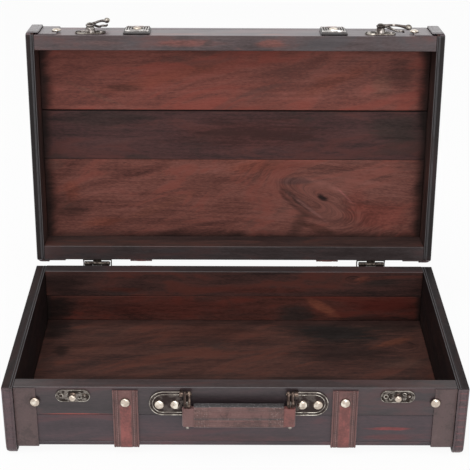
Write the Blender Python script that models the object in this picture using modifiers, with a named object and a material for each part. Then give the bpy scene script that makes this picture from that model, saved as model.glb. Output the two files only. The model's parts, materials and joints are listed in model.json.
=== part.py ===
# Wooden suitcase box, open: a tray and a hinged lid with a carrying handle and two latch hooks.
# Metres, +Z up. X runs along the case, its front faces -Y, and it stands on the plane z = 0.
# Pieces are placed in the case's own frame, whose y = 0 is the front edge of the end boards.
from math import acos, asin, atan2, cos, hypot, pi, radians, sin

import bmesh
import bpy
from mathutils import Matrix, Vector

for old_object in list(bpy.data.objects):
    bpy.data.objects.remove(old_object, do_unlink=True)

# Driving sizes of the case
case_length = 0.400
case_depth = 0.236
tray_height = 0.068
lid_height = 0.042
lid_open_angle = radians(95.5)

# Fits shared by all pieces
piece_gap = 0.0003
rim_gap = 0.0005
cut_overrun = 0.012
round_steps = 12

# Boards
end_proud = 0.0035
tray_end_board_t = 0.0066
tray_end_panel_t = 0.0026
lid_end_board_t = 0.0048
lid_end_panel_t = 0.0023
tray_wall_t = 0.0132
lid_wall_t = 0.0146
upper_board_h = 0.028
board_step = 0.0006
bottom_clearance = 0.008
bottom_panel_t = 0.004
lid_top_recess = 0.0035
lid_plank_t = 0.008
lid_middle_plank_t = 0.0068
lid_back_seam = 0.1005
lid_front_seam = 0.1512
lid_front_seam_gap = 0.0008
board_edge_round = 0.0005
seam_edge_round = 0.00025

# Leather
band_t = 0.0015
lid_band_w = 0.012
band_corner_r = 0.008
tray_rim_front_r = 0.001
lid_rim_front_r = 0.003
rim_back_r = 0.0035
outer_edge_reach = 0.0065
outer_edge_rise = 0.011
tray_front_corner_r = 0.002
lid_front_corner_r = 0.0035
back_corner_r = 0.0045
tray_band_drop = 0.0006
lid_band_drop = 0.0026
wrap_t = 0.001
wrap_reach = 0.0288
strap_t = 0.0016
strap_w = 0.022
strap_to_handle_plate = 0.0063
leather_corner_r = 0.0025
leather_rim_drop = 0.001
buckle_pad_w = 0.0254
buckle_pad_h = 0.024

# Dome nails
dome_r = 0.00405
dome_h = 0.0024
dome_lip = 0.0004
dome_shank_r = 0.0008
dome_shank_l = 0.008
end_nail_inset = 0.0008
tray_nail_drop = 0.0142
lid_nail_rise = 0.014
handle_nail_drop = 0.0168
handle_nail_inner = 0.0547
handle_nail_outer = 0.0682

# Small plate nails and screws
nail_r = 0.0016
nail_h = 0.00075
nail_shank_r = 0.0006
nail_shank_l = 0.006
screw_r = 0.002
screw_h = 0.0009
screw_shank_r = 0.0009
screw_shank_l = 0.009

# Latches, midway between the buckle pads and the end wraps
keeper_drop = 0.0082
keeper_w = 0.0296
keeper_h = 0.0118
keeper_t = 0.0009
keeper_nail_x = 0.0101
keeper_post_r = 0.0015
keeper_head_r = 0.0029
keeper_head_h = 0.0015
hook_rise = 0.011
hook_plate_w = 0.0296
hook_plate_h = 0.012
hook_plate_t = 0.0009
hook_plate_nail_x = 0.0106
pedestal_base_r = 0.0048
pedestal_top_r = 0.0034
pedestal_level = 0.0066
rivet_r = 0.0015
rivet_head_r = 0.003
rivet_head_h = 0.0012
latch_shank_l = 0.006
hook_eye_r = 0.0036
hook_eye_t = 0.0018
hook_wire_r = 0.00105
hook_lever_r = 0.0011
hook_claw_r = 0.0029
hook_claw_tip = 0.0022
hook_claw_level = 0.0036
hook_arm_bow = 0.001
hook_lever_bow = 0.0008
hook_knob_reach = 0.0265
hook_knob_level = 0.008
hook_knob_length = 0.0064
hook_knob_width = 0.005
hook_knob_side = 0.0012
left_hook_angle = radians(55)
right_hook_angle = radians(-18)

# Buckle plates on the lid's front
buckle_rise = 0.0175
buckle_w = 0.023
buckle_h = 0.021
buckle_base_t = 0.0008
buckle_step_t = 0.0005
buckle_ridge_w = 0.0042

# Handle
handle_x = 0.003
handle_plate_inner = 0.0483
handle_plate_outer = 0.0772
handle_plate_h = 0.024
handle_plate_drop = 0.0156
handle_plate_t = 0.001
handle_bead_t = 0.0022
handle_bead_w = 0.0022
handle_pin_rise = 0.004
handle_pin_drop = 0.0045
handle_pin_r = 0.0012
handle_pin_head_r = 0.0018
handle_pin_head_t = 0.0008
handle_lug_w = 0.0032
handle_lug_r = 0.0024
handle_tongue_top = 0.0078
handle_tongue_h = 0.0032
handle_rod_x = 0.0442
handle_rod_rise = 0.0073
handle_rod_r = 0.0012
handle_ball_r = 0.002
handle_rod_drop = 0.0069
handle_rod_end = 0.0321
link_w = 0.0064
link_t = 0.0012
link_pin_room = 0.0007
link_ball_room = 0.0006
grip_half_length = 0.0486
grip_body_half_length = 0.0385
grip_top = 0.0087
grip_end_top = 0.0111
grip_bottom = 0.0298
grip_t = 0.0074
grip_end_t = 0.0056
grip_round = 0.002

# Hinges, in line with the latches
hinge_setback = 0.0005
hinge_leaf_w = 0.029
hinge_leaf_t = 0.001
hinge_leaf_start = 0.0015
hinge_leaf_end = 0.022
hinge_barrel_r = 0.0023
hinge_barrel_w = 0.025
hinge_centre_knuckle_w = 0.0084
hinge_web_start = 0.0013
hinge_web_end = 0.003
hinge_pin_r = 0.001
hinge_pin_head_r = 0.0016
hinge_pin_head_t = 0.0005
hinge_screw_x = 0.0082
hinge_screw_reach = 0.015
ear_t = 0.001
ear_w = 0.0018
ear_start_r = 0.0039
ear_end_r = 0.00646
ear_start_angle = radians(138)

# Worked out from the sizes above
half_length = case_length / 2
tray_end_t = tray_end_board_t + piece_gap + tray_end_panel_t
lid_end_t = lid_end_board_t + piece_gap + lid_end_panel_t
tray_wall_half = half_length - tray_end_t - piece_gap
wrap_inner_x = half_length - wrap_reach
end_nail_x = wrap_inner_x + end_nail_inset
strap_x = handle_plate_outer + strap_to_handle_plate + strap_w / 2
latch_x = (strap_x + buckle_pad_w / 2 + wrap_inner_x) / 2
hinge_x = latch_x
lid_wall_half = half_length - lid_end_t - piece_gap
lid_board_rise = rim_gap / 2
hinge_y = case_depth + hinge_setback
hinge_z = tray_height + lid_board_rise
lid_front_y = -hinge_y
lid_top_face = lid_height - lid_top_recess
lid_wall_h = lid_top_face - lid_plank_t - piece_gap
wall_to_axis = end_proud + hinge_setback
handle_pin_y = end_proud - handle_pin_rise
handle_pin_z = tray_height - handle_pin_drop
hook_reach = hook_rise + lid_board_rise + keeper_drop
rear_reach = (hinge_y + (lid_front_y + band_corner_r) * cos(lid_open_angle)
              + (lid_board_rise + lid_height) * sin(lid_open_angle))
link_pin_inner_r = handle_pin_r + link_pin_room
link_ball_inner_r = handle_ball_r + link_ball_room
link_ball_outer_r = link_ball_inner_r + link_t
front_reach = max(grip_t / 2, link_ball_outer_r) + handle_rod_rise - end_proud
case_middle_y = (rear_reach - front_reach) / 2

# Collections
part_collection = bpy.data.collections.new("wooden_suitcase_box")
tool_collection = bpy.data.collections.new("cutters")
bpy.context.scene.collection.children.link(part_collection)
bpy.context.scene.collection.children.link(tool_collection)


def make_material(name, colour, roughness, metallic=0.0):
    """A Principled material with one colour, roughness and metallic value."""
    new_material = bpy.data.materials.new(name)
    new_material.use_nodes = True
    shader = new_material.node_tree.nodes["Principled BSDF"]
    shader.inputs["Base Color"].default_value = (*colour, 1.0)
    shader.inputs["Roughness"].default_value = roughness
    shader.inputs["Metallic"].default_value = metallic
    return new_material


dark_wood = make_material("dark_stained_wood", (0.045, 0.022, 0.022), 0.5)
red_wood = make_material("red_stained_wood", (0.14, 0.035, 0.022), 0.5)
dark_leather = make_material("dark_leather", (0.03, 0.02, 0.02), 0.55)
red_leather = make_material("red_brown_leather", (0.13, 0.035, 0.028), 0.55)
antique_brass = make_material("antique_brass", (0.32, 0.25, 0.16), 0.4, 1.0)
bright_brass = make_material("bright_brass", (0.62, 0.53, 0.36), 0.3, 1.0)
dark_bronze = make_material("dark_bronze", (0.10, 0.075, 0.06), 0.45, 1.0)


def add_empty(name, parent, location, rotation=(0.0, 0.0, 0.0)):
    """A frame that carries other pieces."""
    frame = bpy.data.objects.new(name, None)
    part_collection.objects.link(frame)
    frame.parent = parent
    frame.location = location
    frame.rotation_euler = rotation
    return frame


def add_piece(name, mesh, material, parent, location=(0.0, 0.0, 0.0), rotation=(0.0, 0.0, 0.0)):
    """One sub-part of the object."""
    mesh.name = name
    mesh.materials.clear()
    mesh.materials.append(material)
    piece = bpy.data.objects.new(name, mesh)
    part_collection.objects.link(piece)
    piece.parent = parent
    piece.location = location
    piece.rotation_euler = rotation
    return piece


def add_tool(name, mesh, parent, location=(0.0, 0.0, 0.0), rotation=(0.0, 0.0, 0.0)):
    """A hidden solid that is cut from a piece or joined to it."""
    mesh.name = name
    tool = bpy.data.objects.new(name, mesh)
    tool_collection.objects.link(tool)
    tool.parent = parent
    tool.location = location
    tool.rotation_euler = rotation
    tool.display_type = 'WIRE'
    tool.hide_render = True
    return tool


def use_tool(piece, operation, tool):
    """Cut a tool from a piece, or join it on."""
    step = piece.modifiers.new(operation.lower(), 'BOOLEAN')
    step.operation = operation
    step.object = tool


def cut(piece, *tools):
    for tool in tools:
        use_tool(piece, 'DIFFERENCE', tool)


def join(piece, *tools):
    for tool in tools:
        use_tool(piece, 'UNION', tool)


def soften(piece, width, segments=1):
    """Round off the edges of a boxy piece."""
    step = piece.modifiers.new("edges", 'BEVEL')
    step.width = width
    step.segments = segments
    step.limit_method = 'ANGLE'


def shade_round(mesh):
    mesh.shade_smooth()
    mesh.set_sharp_from_angle(angle=radians(35))


def finish_mesh(work, name, weld=False):
    """Turn a bmesh into a mesh whose faces point out."""
    if weld:
        bmesh.ops.remove_doubles(work, verts=work.verts, dist=piece_gap / 30)
    bmesh.ops.recalc_face_normals(work, faces=work.faces)
    mesh = bpy.data.meshes.new(name)
    work.to_mesh(mesh)
    work.free()
    return mesh


def box_mesh(low, high):
    """A box from its lowest to its highest corner."""
    low, high = Vector(low), Vector(high)
    work = bmesh.new()
    bmesh.ops.create_cube(work, size=1.0)
    bmesh.ops.scale(work, vec=high - low, verts=work.verts)
    bmesh.ops.translate(work, vec=(low + high) / 2, verts=work.verts)
    return finish_mesh(work, "box")


def cylinder_mesh(radius, low, high, axis='Z', top_radius=None):
    """A round bar from low to high along one axis; a cone where the radii differ."""
    work = bmesh.new()
    bmesh.ops.create_cone(work, cap_ends=True, segments=2 * round_steps, depth=high - low,
                          radius1=radius, radius2=radius if top_radius is None else top_radius)
    bmesh.ops.translate(work, vec=(0, 0, (low + high) / 2), verts=work.verts)
    if axis == 'X':
        bmesh.ops.rotate(work, matrix=Matrix.Rotation(pi / 2, 3, 'Y'), verts=work.verts)
    mesh = finish_mesh(work, "cylinder")
    shade_round(mesh)
    return mesh


def ellipsoid_mesh(length, width, centre):
    work = bmesh.new()
    bmesh.ops.create_uvsphere(work, u_segments=round_steps, v_segments=8, radius=1.0)
    bmesh.ops.rotate(work, matrix=Matrix.Rotation(pi / 2, 3, 'Y'), verts=work.verts)
    bmesh.ops.scale(work, vec=(length / 2, width / 2, width / 2), verts=work.verts)
    bmesh.ops.translate(work, vec=centre, verts=work.verts)
    mesh = finish_mesh(work, "ellipsoid")
    shade_round(mesh)
    return mesh


def evaluated_mesh(source):
    """The final mesh of a curve or of an object with modifiers; the object is removed."""
    bpy.context.view_layer.update()
    depsgraph = bpy.context.evaluated_depsgraph_get()
    mesh = bpy.data.meshes.new_from_object(source.evaluated_get(depsgraph))
    bpy.data.objects.remove(source, do_unlink=True)
    work = bmesh.new()
    work.from_mesh(mesh)
    bpy.data.meshes.remove(mesh)
    return finish_mesh(work, "evaluated", weld=True)


def outline_mesh(outlines, thickness):
    """A flat solid with the given closed outlines in X and Y; an inner outline is a hole."""
    curve = bpy.data.curves.new("outline", 'CURVE')
    curve.dimensions = '2D'
    curve.fill_mode = 'BOTH'
    curve.extrude = thickness / 2
    for points in outlines:
        spline = curve.splines.new('POLY')
        spline.points.add(len(points) - 1)
        for knot, (x, y) in zip(spline.points, points):
            knot.co = (x, y, 0, 1)
        spline.use_cyclic_u = True
    holder = bpy.data.objects.new("outline", curve)
    tool_collection.objects.link(holder)
    return evaluated_mesh(holder)


def wire_mesh(points, radius):
    """A round bar along a row of points."""
    curve = bpy.data.curves.new("wire", 'CURVE')
    curve.dimensions = '3D'
    curve.bevel_depth = radius
    curve.bevel_resolution = 2
    curve.use_fill_caps = True
    spline = curve.splines.new('POLY')
    spline.points.add(len(points) - 1)
    for knot, point in zip(spline.points, points):
        knot.co = (*point, 1)
    holder = bpy.data.objects.new("wire", curve)
    tool_collection.objects.link(holder)
    mesh = evaluated_mesh(holder)
    shade_round(mesh)
    return mesh


def turned_mesh(profile):
    """A solid of revolution about Z; the profile runs down its outer side, top to bottom."""
    work = bmesh.new()
    knots = [work.verts.new((radius, 0, height)) for radius, height in profile]
    for upper, lower in zip(knots, knots[1:]):
        work.edges.new((upper, lower))
    mesh = bpy.data.meshes.new("profile")
    work.to_mesh(mesh)
    work.free()
    holder = bpy.data.objects.new("profile", mesh)
    tool_collection.objects.link(holder)
    screw = holder.modifiers.new("turn", 'SCREW')
    screw.steps = screw.render_steps = round_steps
    screw.use_merge_vertices = True
    screw.merge_threshold = piece_gap / 30
    mesh = evaluated_mesh(holder)
    shade_round(mesh)
    return mesh


def group_mesh(mesh, places):
    """Copies of one mesh at several places, as one mesh of separate solids."""
    work = bmesh.new()
    for place in places:
        one = mesh.copy()
        one.transform(place)
        work.from_mesh(one)
        bpy.data.meshes.remove(one)
    joined = bpy.data.meshes.new("group")
    work.to_mesh(joined)
    work.free()
    shade_round(joined)
    return joined


def arc(centre, radius, start, end, steps):
    """Points on a circle from one angle to another."""
    return [(centre[0] + radius * cos(start + (end - start) * step / steps),
             centre[1] + radius * sin(start + (end - start) * step / steps)) for step in range(steps + 1)]


def face_place(x, y, z, outward):
    """A fastener's place on a wall: its own Z points out of the wall, along -Y or +Y."""
    return Matrix.Translation((x, y, z)) @ Matrix.Rotation(outward * -pi / 2, 4, 'X')


# Outlines seen from the end of the case: along its depth, and away from the rim

def end_outline(height, front_r, flip):
    """An end board inside its leather band."""
    inset = band_t + piece_gap
    low, high = inset, case_depth - inset
    outer = height - inset
    corner = band_corner_r - inset
    points = arc((low + front_r, front_r), front_r, -pi / 2, -pi, 3)
    points += arc((low + corner, outer - corner), corner, pi, pi / 2, 4)
    points += arc((high - corner, outer - corner), corner, pi / 2, 0, 4)
    points += arc((high - rim_back_r, rim_back_r), rim_back_r, 0, -pi / 2, 3)
    return [(along, flip * away) for along, away in points]


def channel_outline(proud_by, outer, thickness, corner, front_drop, back_drop, flip):
    """A strip that runs down the front, across the outer side and up the back."""
    low, high = proud_by, case_depth - proud_by
    points = [(low, front_drop)]
    points += arc((low + corner, outer - corner), corner, pi, pi / 2, 4)
    points += arc((high - corner, outer - corner), corner, pi / 2, 0, 4)
    points += [(high, back_drop), (high - thickness, back_drop)]
    inner = corner - thickness
    points += arc((high - corner, outer - corner), inner, 0, pi / 2, 4)
    points += arc((low + corner, outer - corner), inner, pi / 2, pi, 4)
    points += [(low + thickness, front_drop)]
    return [(along, flip * away) for along, away in points]


def corner_outline(reach, rise, side):
    """What rounds a square corner at (0, 0): it is cut back by reach along X and by rise along Y."""
    points = [(reach * (cos(turn) - 1), rise * (1 - sin(turn)))
              for turn in (pi / 2 * step / 6 for step in range(7))]
    points += [(-reach, -cut_overrun), (cut_overrun, -cut_overrun), (cut_overrun, rise)]
    return [(side * along, away) for along, away in points]


def add_corner_tools(owner, side, label):
    """Cutters that round the outer edge and the upright corners of one end, bands and boards alike."""
    rim, flip, height = owner["rim"], owner["flip"], owner["height"]
    run = case_depth + 2 * cut_overrun
    edge = outline_mesh([[(along, -flip * away) for along, away
                          in corner_outline(outer_edge_reach, outer_edge_rise, side)]], run)
    tools = [add_tool(f"{label}_{owner['name']}_outer_edge", edge, owner["frame"],
                      (side * half_length, owner["front"] + case_depth / 2, rim + flip * height), (pi / 2, 0, 0))]
    corners = (("front", owner["corner_r"], 0.0, 1), ("back", back_corner_r, case_depth, -1))
    for place, radius, start, into in corners:
        corner = outline_mesh([[(along, into * away) for along, away in corner_outline(radius, radius, side)]],
                              height + 2 * cut_overrun)
        tools.append(add_tool(f"{label}_{owner['name']}_{place}_corner", corner, owner["frame"],
                              (side * half_length, owner["front"] + start, rim + flip * height / 2)))
    return tools


def add_profile(name, outline, thickness, middle_x, material, owner):
    """Stand an end-on outline up in the tray or the lid."""
    mesh = outline_mesh([outline], thickness)
    return add_piece(name, mesh, material, owner["frame"], (middle_x, owner["front"], owner["rim"]),
                     (pi / 2, 0, pi / 2))


def add_board(name, low, high, material, parent, edge_round=board_edge_round):
    """A flat wooden board with softened edges, its origin at its middle."""
    low, high = Vector(low), Vector(high)
    middle = (low + high) / 2
    board = add_piece(name, box_mesh(low - middle, high - middle), material, parent, middle)
    soften(board, edge_round)
    return board


def add_fastener(name, mesh, place, material, parent):
    """A nail, pin or rivet whose own Z points out of the wall."""
    piece = add_piece(name, mesh.copy(), material, parent)
    piece.matrix_local = place
    return piece


def join_fasteners(name, piece, mesh, places, parent):
    """The nails or screws of a plate, as one body with it."""
    join(piece, add_tool(name, group_mesh(mesh, places), parent))


def hole_mesh(radius, length):
    """A hole with room for a shank, from below its tip to well above its head."""
    return cylinder_mesh(radius + piece_gap, -length - piece_gap, cut_overrun)


def headed_mesh(head_r, head_h, shank_r, shank_l, lip=0.0):
    """A domed head on a plain shank; the head's flat underside is at z = 0."""
    crown = head_h - lip
    dome = [(head_r * sin(turn), lip + crown * cos(turn)) for turn in (0, pi / 6, pi / 3, pi / 2)]
    profile = dome + ([(head_r, 0)] if lip > 0 else [])
    return turned_mesh(profile + [(shank_r, 0), (shank_r, -shank_l), (0, -shank_l)])


# Frames of the case, the lid, the handle and the hooks
case = add_empty("case_frame", None, (0, -case_middle_y, 0))
lid_frame = add_empty("lid_hinge_axis", case, (0, hinge_y, hinge_z), (-lid_open_angle, 0, 0))
handle_frame = add_empty("handle_pivot_axis", case, (handle_x, handle_pin_y, handle_pin_z))
tray = {"frame": case, "front": 0.0, "rim": tray_height, "flip": -1, "height": tray_height,
        "face": tray_height - bottom_clearance, "name": "tray", "front_r": tray_rim_front_r,
        "drop": tray_band_drop, "band_w": tray_end_t, "corner_r": tray_front_corner_r}
lid = {"frame": lid_frame, "front": lid_front_y, "rim": lid_board_rise, "flip": 1, "height": lid_height,
       "face": lid_top_face, "name": "lid", "front_r": lid_rim_front_r, "drop": lid_band_drop,
       "band_w": lid_band_w, "corner_r": lid_front_corner_r}
tray_front_face = end_proud
tray_back_face = case_depth - end_proud
lid_front_face = lid_front_y + end_proud
lid_back_face = -wall_to_axis
strap_nail_rise = piece_gap + strap_t + piece_gap
wrap_nail_rise = piece_gap + wrap_t + piece_gap
buckle_t = buckle_base_t + 2 * buckle_step_t
post_head_level = hook_claw_level + hook_wire_r + piece_gap
rivet_head_level = pedestal_level + hook_eye_t + 2 * piece_gap


# Places of the fasteners. The heads of those that belong to a plate start one gap inside its outer face.

def along_front(owner, x, rise, from_rim):
    """A place on the front wall of the tray or the lid, counted from its rim."""
    face = tray_front_face if owner is tray else lid_front_face
    return face_place(x, face - rise, owner["rim"] + owner["flip"] * from_rim, -1)


def along_back(owner, x, rise, from_rim):
    face = tray_back_face if owner is tray else lid_back_face
    return face_place(x, face + rise, owner["rim"] + owner["flip"] * from_rim, 1)


def leather_nail_place(owner, side, where):
    if where == "wrap":
        return along_front(owner, side * end_nail_x, wrap_nail_rise,
                           tray_nail_drop if owner is tray else lid_nail_rise)
    return along_front(owner, side * strap_x, strap_nail_rise, tray_nail_drop)


def handle_nail_places(side):
    return [along_front(tray, handle_x + side * reach, handle_plate_t, handle_nail_drop)
            for reach in (handle_nail_inner, handle_nail_outer)]


def keeper_nail_places(side):
    return [along_front(tray, side * latch_x + shift, keeper_t, keeper_drop)
            for shift in (-keeper_nail_x, keeper_nail_x)]


def keeper_post_place(side):
    return along_front(tray, side * latch_x, post_head_level, keeper_drop)


def hook_nail_places(side):
    return [along_front(lid, side * latch_x + shift, hook_plate_t, hook_rise - lid_board_rise)
            for shift in (-hook_plate_nail_x, hook_plate_nail_x)]


def hook_rivet_place(side):
    return along_front(lid, side * latch_x, rivet_head_level, hook_rise - lid_board_rise)


def buckle_stud_place(side):
    return along_front(lid, side * strap_x, strap_nail_rise + buckle_t - piece_gap, buckle_rise)


def screw_places(owner, side):
    return [along_back(owner, side * hinge_x + shift, hinge_leaf_t, hinge_screw_reach - lid_board_rise)
            for shift in (-hinge_screw_x, hinge_screw_x)]


sides = ((-1, "left"), (1, "right"))
tray_front_domes = []
keeper_nails = []
keeper_posts = []
lid_front_domes = []
hook_nails = []
hook_rivets = []
tray_screws = []
lid_screws = []
for side, label in sides:
    tray_front_domes += [leather_nail_place(tray, side, "wrap"), leather_nail_place(tray, side, "strap")]
    tray_front_domes += handle_nail_places(side)
    keeper_nails += keeper_nail_places(side)
    keeper_posts.append(keeper_post_place(side))
    lid_front_domes += [leather_nail_place(lid, side, "wrap"), buckle_stud_place(side)]
    hook_nails += hook_nail_places(side)
    hook_rivets.append(hook_rivet_place(side))
    tray_screws += screw_places(tray, side)
    lid_screws += screw_places(lid, side)

dome_hole = hole_mesh(dome_shank_r, dome_shank_l)
nail_hole = hole_mesh(nail_shank_r, nail_shank_l)
screw_hole = hole_mesh(screw_shank_r, screw_shank_l)
post_hole = hole_mesh(keeper_post_r, latch_shank_l + post_head_level)
rivet_hole = hole_mesh(rivet_r, latch_shank_l + rivet_head_level)


def add_holes(name, parent, *families):
    """All the holes of one wall as one cutter."""
    work = bmesh.new()
    for mesh, places in families:
        drilled = group_mesh(mesh, places)
        work.from_mesh(drilled)
        bpy.data.meshes.remove(drilled)
    return add_tool(name, finish_mesh(work, name), parent)


tray_front_holes = add_holes("tray_front_holes", case, (dome_hole, tray_front_domes),
                             (nail_hole, keeper_nails), (post_hole, keeper_posts))
tray_back_holes = add_holes("tray_back_holes", case, (screw_hole, tray_screws))
lid_front_holes = add_holes("lid_front_holes", lid_frame, (dome_hole, lid_front_domes),
                            (nail_hole, hook_nails), (rivet_hole, hook_rivets))
lid_back_holes = add_holes("lid_back_holes", lid_frame, (screw_hole, lid_screws))
rivet_bore = add_holes("rivet_bore", lid_frame, (rivet_hole, hook_rivets))

# Shapes of the fasteners
dome_mesh = headed_mesh(dome_r, dome_h, dome_shank_r, dome_shank_l, dome_lip)
nail_mesh = headed_mesh(nail_r, nail_h, nail_shank_r, nail_shank_l)
screw_mesh = headed_mesh(screw_r, screw_h, screw_shank_r, screw_shank_l)
post_mesh = headed_mesh(keeper_head_r, keeper_head_h, keeper_post_r, latch_shank_l + post_head_level)
rivet_mesh = headed_mesh(rivet_head_r, rivet_head_h, rivet_r, latch_shank_l + rivet_head_level)


# Wooden boards of the tray

def build_tray_boards():
    upper_low = tray_height - upper_board_h
    lower_low = bottom_clearance + bottom_panel_t + piece_gap
    lower_high = upper_low - piece_gap
    for place, holes in (("front", tray_front_holes), ("back", tray_back_holes)):
        def spread(outer, inner):
            """Depths from the front, or the same depths from the back."""
            return (outer, inner) if place == "front" else (case_depth - inner, case_depth - outer)

        inner_face = end_proud + tray_wall_t
        near, far = spread(end_proud, inner_face)
        upper = add_board(f"tray_{place}_upper_board", (-tray_wall_half, near, upper_low),
                          (tray_wall_half, far, tray_height), dark_wood, case)
        cut(upper, holes)
        near, far = spread(end_proud + board_step, inner_face)
        add_board(f"tray_{place}_lower_board", (-tray_wall_half, near, lower_low),
                  (tray_wall_half, far, lower_high), dark_wood, case, seam_edge_round)
    edge = end_proud + board_step
    add_board("bottom_panel", (-tray_wall_half, edge, bottom_clearance),
              (tray_wall_half, case_depth - edge, bottom_clearance + bottom_panel_t), red_wood, case)


# Wooden boards of the lid, placed as when it is shut

def build_lid_boards():
    rim = lid_board_rise
    wall_high = rim + lid_wall_h
    front = add_board("lid_front_wall", (-lid_wall_half, lid_front_face, rim),
                      (lid_wall_half, lid_front_face + lid_wall_t, wall_high), dark_wood, lid_frame)
    cut(front, lid_front_holes)
    back = add_board("lid_back_wall", (-lid_wall_half, lid_back_face - lid_wall_t, rim),
                     (lid_wall_half, lid_back_face, wall_high), dark_wood, lid_frame)
    cut(back, lid_back_holes)
    top = rim + lid_top_face
    back_seam = -hinge_setback - lid_back_seam
    front_seam = -hinge_setback - lid_front_seam
    planks = (("lid_front_plank", lid_front_face, front_seam - lid_front_seam_gap, lid_plank_t),
              ("lid_middle_plank", front_seam, back_seam, lid_middle_plank_t),
              ("lid_back_plank", back_seam + piece_gap, lid_back_face, lid_plank_t))
    for name, near, far, thickness in planks:
        add_board(name, (-lid_wall_half, near, top - thickness), (lid_wall_half, far, top), red_wood, lid_frame,
                  seam_edge_round if name == "lid_middle_plank" else board_edge_round)


# End boards, inner end panels, leather bands, wraps and straps, alike on the tray and the lid

def build_ends_and_leather(owner, board_t, panel_t, end_t, holes):
    flip, kind = owner["flip"], owner["name"]
    band_w = owner["band_w"]
    end_shape = end_outline(owner["height"], owner["front_r"], flip)
    band_shape = channel_outline(0.0, owner["height"], band_t, band_corner_r, owner["drop"], rim_back_r, flip)
    wrap_outer_x = half_length - band_w - piece_gap
    wrap_w = wrap_outer_x - wrap_inner_x
    leather_face = owner["face"] + piece_gap
    wrap_proud = end_proud - piece_gap - wrap_t
    wrap_shape = channel_outline(wrap_proud, leather_face + wrap_t, wrap_t, leather_corner_r,
                                 leather_rim_drop, leather_rim_drop, flip)
    strap_proud = end_proud - piece_gap - strap_t
    strap_shape = channel_outline(strap_proud, leather_face + strap_t, strap_t, leather_corner_r,
                                  leather_rim_drop, leather_rim_drop, flip)
    for side, label in sides:
        corner_tools = add_corner_tools(owner, side, label)
        board = add_profile(f"{label}_{kind}_end_board", end_shape, board_t, side * (half_length - board_t / 2),
                            dark_wood, owner)
        add_profile(f"{label}_{kind}_end_panel", end_shape, panel_t,
                    side * (half_length - end_t + panel_t / 2), dark_wood, owner)
        band = add_profile(f"{label}_{kind}_edge_band", band_shape, band_w, side * (half_length - band_w / 2),
                           red_leather, owner)
        for piece in (board, band):
            cut(piece, *corner_tools)
        wrap = add_profile(f"{label}_{kind}_end_wrap", wrap_shape, wrap_w, side * (wrap_outer_x - wrap_w / 2),
                           dark_leather, owner)
        strap = add_profile(f"{label}_{kind}_strap", strap_shape, strap_w, side * strap_x, red_leather, owner)
        if owner is lid:
            face = lid_front_face - piece_gap
            pad_low = lid_board_rise + buckle_rise - buckle_pad_h / 2
            pad = box_mesh((side * strap_x - buckle_pad_w / 2, face - strap_t, pad_low),
                           (side * strap_x + buckle_pad_w / 2, face, pad_low + buckle_pad_h))
            join(strap, add_tool(f"{label}_buckle_pad", pad, lid_frame))
        cut(wrap, holes)
        cut(strap, holes)


# Dome nails through the leather, and the rivets that the hooks turn on

def build_fasteners():
    for side, label in sides:
        for owner in (tray, lid):
            add_fastener(f"{label}_{owner['name']}_wrap_nail", dome_mesh,
                         leather_nail_place(owner, side, "wrap"), bright_brass, owner["frame"])
        add_fastener(f"{label}_tray_strap_nail", dome_mesh, leather_nail_place(tray, side, "strap"),
                     bright_brass, case)
        add_fastener(f"{label}_hook_rivet", rivet_mesh, hook_rivet_place(side), antique_brass, lid_frame)


# Latch plates, hooks and buckles

def oblong(width, height):
    """A plate outline with round ends."""
    radius = height / 2
    reach = width / 2 - radius
    return arc((reach, 0), radius, -pi / 2, pi / 2, 8) + arc((-reach, 0), radius, pi / 2, 3 * pi / 2, 8)


def build_latch_plates():
    for side, label in sides:
        keeper = add_piece(f"{label}_keeper_plate", outline_mesh([oblong(keeper_w, keeper_h)], keeper_t),
                           antique_brass, case,
                           (side * latch_x, tray_front_face - piece_gap - keeper_t / 2,
                            tray_height - keeper_drop), (pi / 2, 0, 0))
        join_fasteners(f"{label}_keeper_nails", keeper, nail_mesh, keeper_nail_places(side), case)
        join_fasteners(f"{label}_keeper_post", keeper, post_mesh, [keeper_post_place(side)], case)
        place = (side * latch_x, lid_front_face - piece_gap - hook_plate_t / 2, hook_rise)
        plate = add_piece(f"{label}_hook_plate", outline_mesh([oblong(hook_plate_w, hook_plate_h)], hook_plate_t),
                          antique_brass, lid_frame, place, (pi / 2, 0, 0))
        pedestal = cylinder_mesh(pedestal_base_r, 0, pedestal_level - piece_gap - hook_plate_t / 2,
                                 top_radius=pedestal_top_r)
        join(plate, add_tool(f"{label}_pedestal", pedestal, lid_frame, place, (pi / 2, 0, 0)))
        join_fasteners(f"{label}_hook_nails", plate, nail_mesh, hook_nail_places(side), lid_frame)
        cut(plate, rivet_bore)


def hook_arm_points():
    """The arm sinks from the eye to the claw, goes round the post's outer side and ends in a straight tip."""
    claw = arc((hook_reach, 0), hook_claw_r, radians(150), 0, 6)
    start_x = hook_eye_r / 2
    end_x, end_y = claw[0]
    eye_level = pedestal_level + piece_gap + hook_eye_t / 2
    points = []
    for step in range(8):
        share = step / 8
        ease = share * share * (3 - 2 * share)
        points.append((start_x + (end_x - start_x) * share, end_y * share + hook_arm_bow * sin(pi * share),
                       eye_level + (hook_claw_level - eye_level) * ease))
    points += [(x, y, hook_claw_level) for x, y in claw]
    points.append((hook_reach + hook_claw_r, -hook_claw_tip, hook_claw_level))
    return points


def hook_lever_points():
    """The lever bows up from the eye to the thumb knob."""
    eye_level = pedestal_level + piece_gap + hook_eye_t / 2
    points = []
    for step in range(7):
        share = step / 6
        points.append((hook_eye_r / 2 + (hook_knob_reach - hook_eye_r / 2) * share,
                       hook_knob_side * share - hook_arm_bow * sin(pi * share),
                       eye_level + (hook_knob_level - eye_level) * share + hook_lever_bow * sin(pi * share)))
    return points


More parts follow.
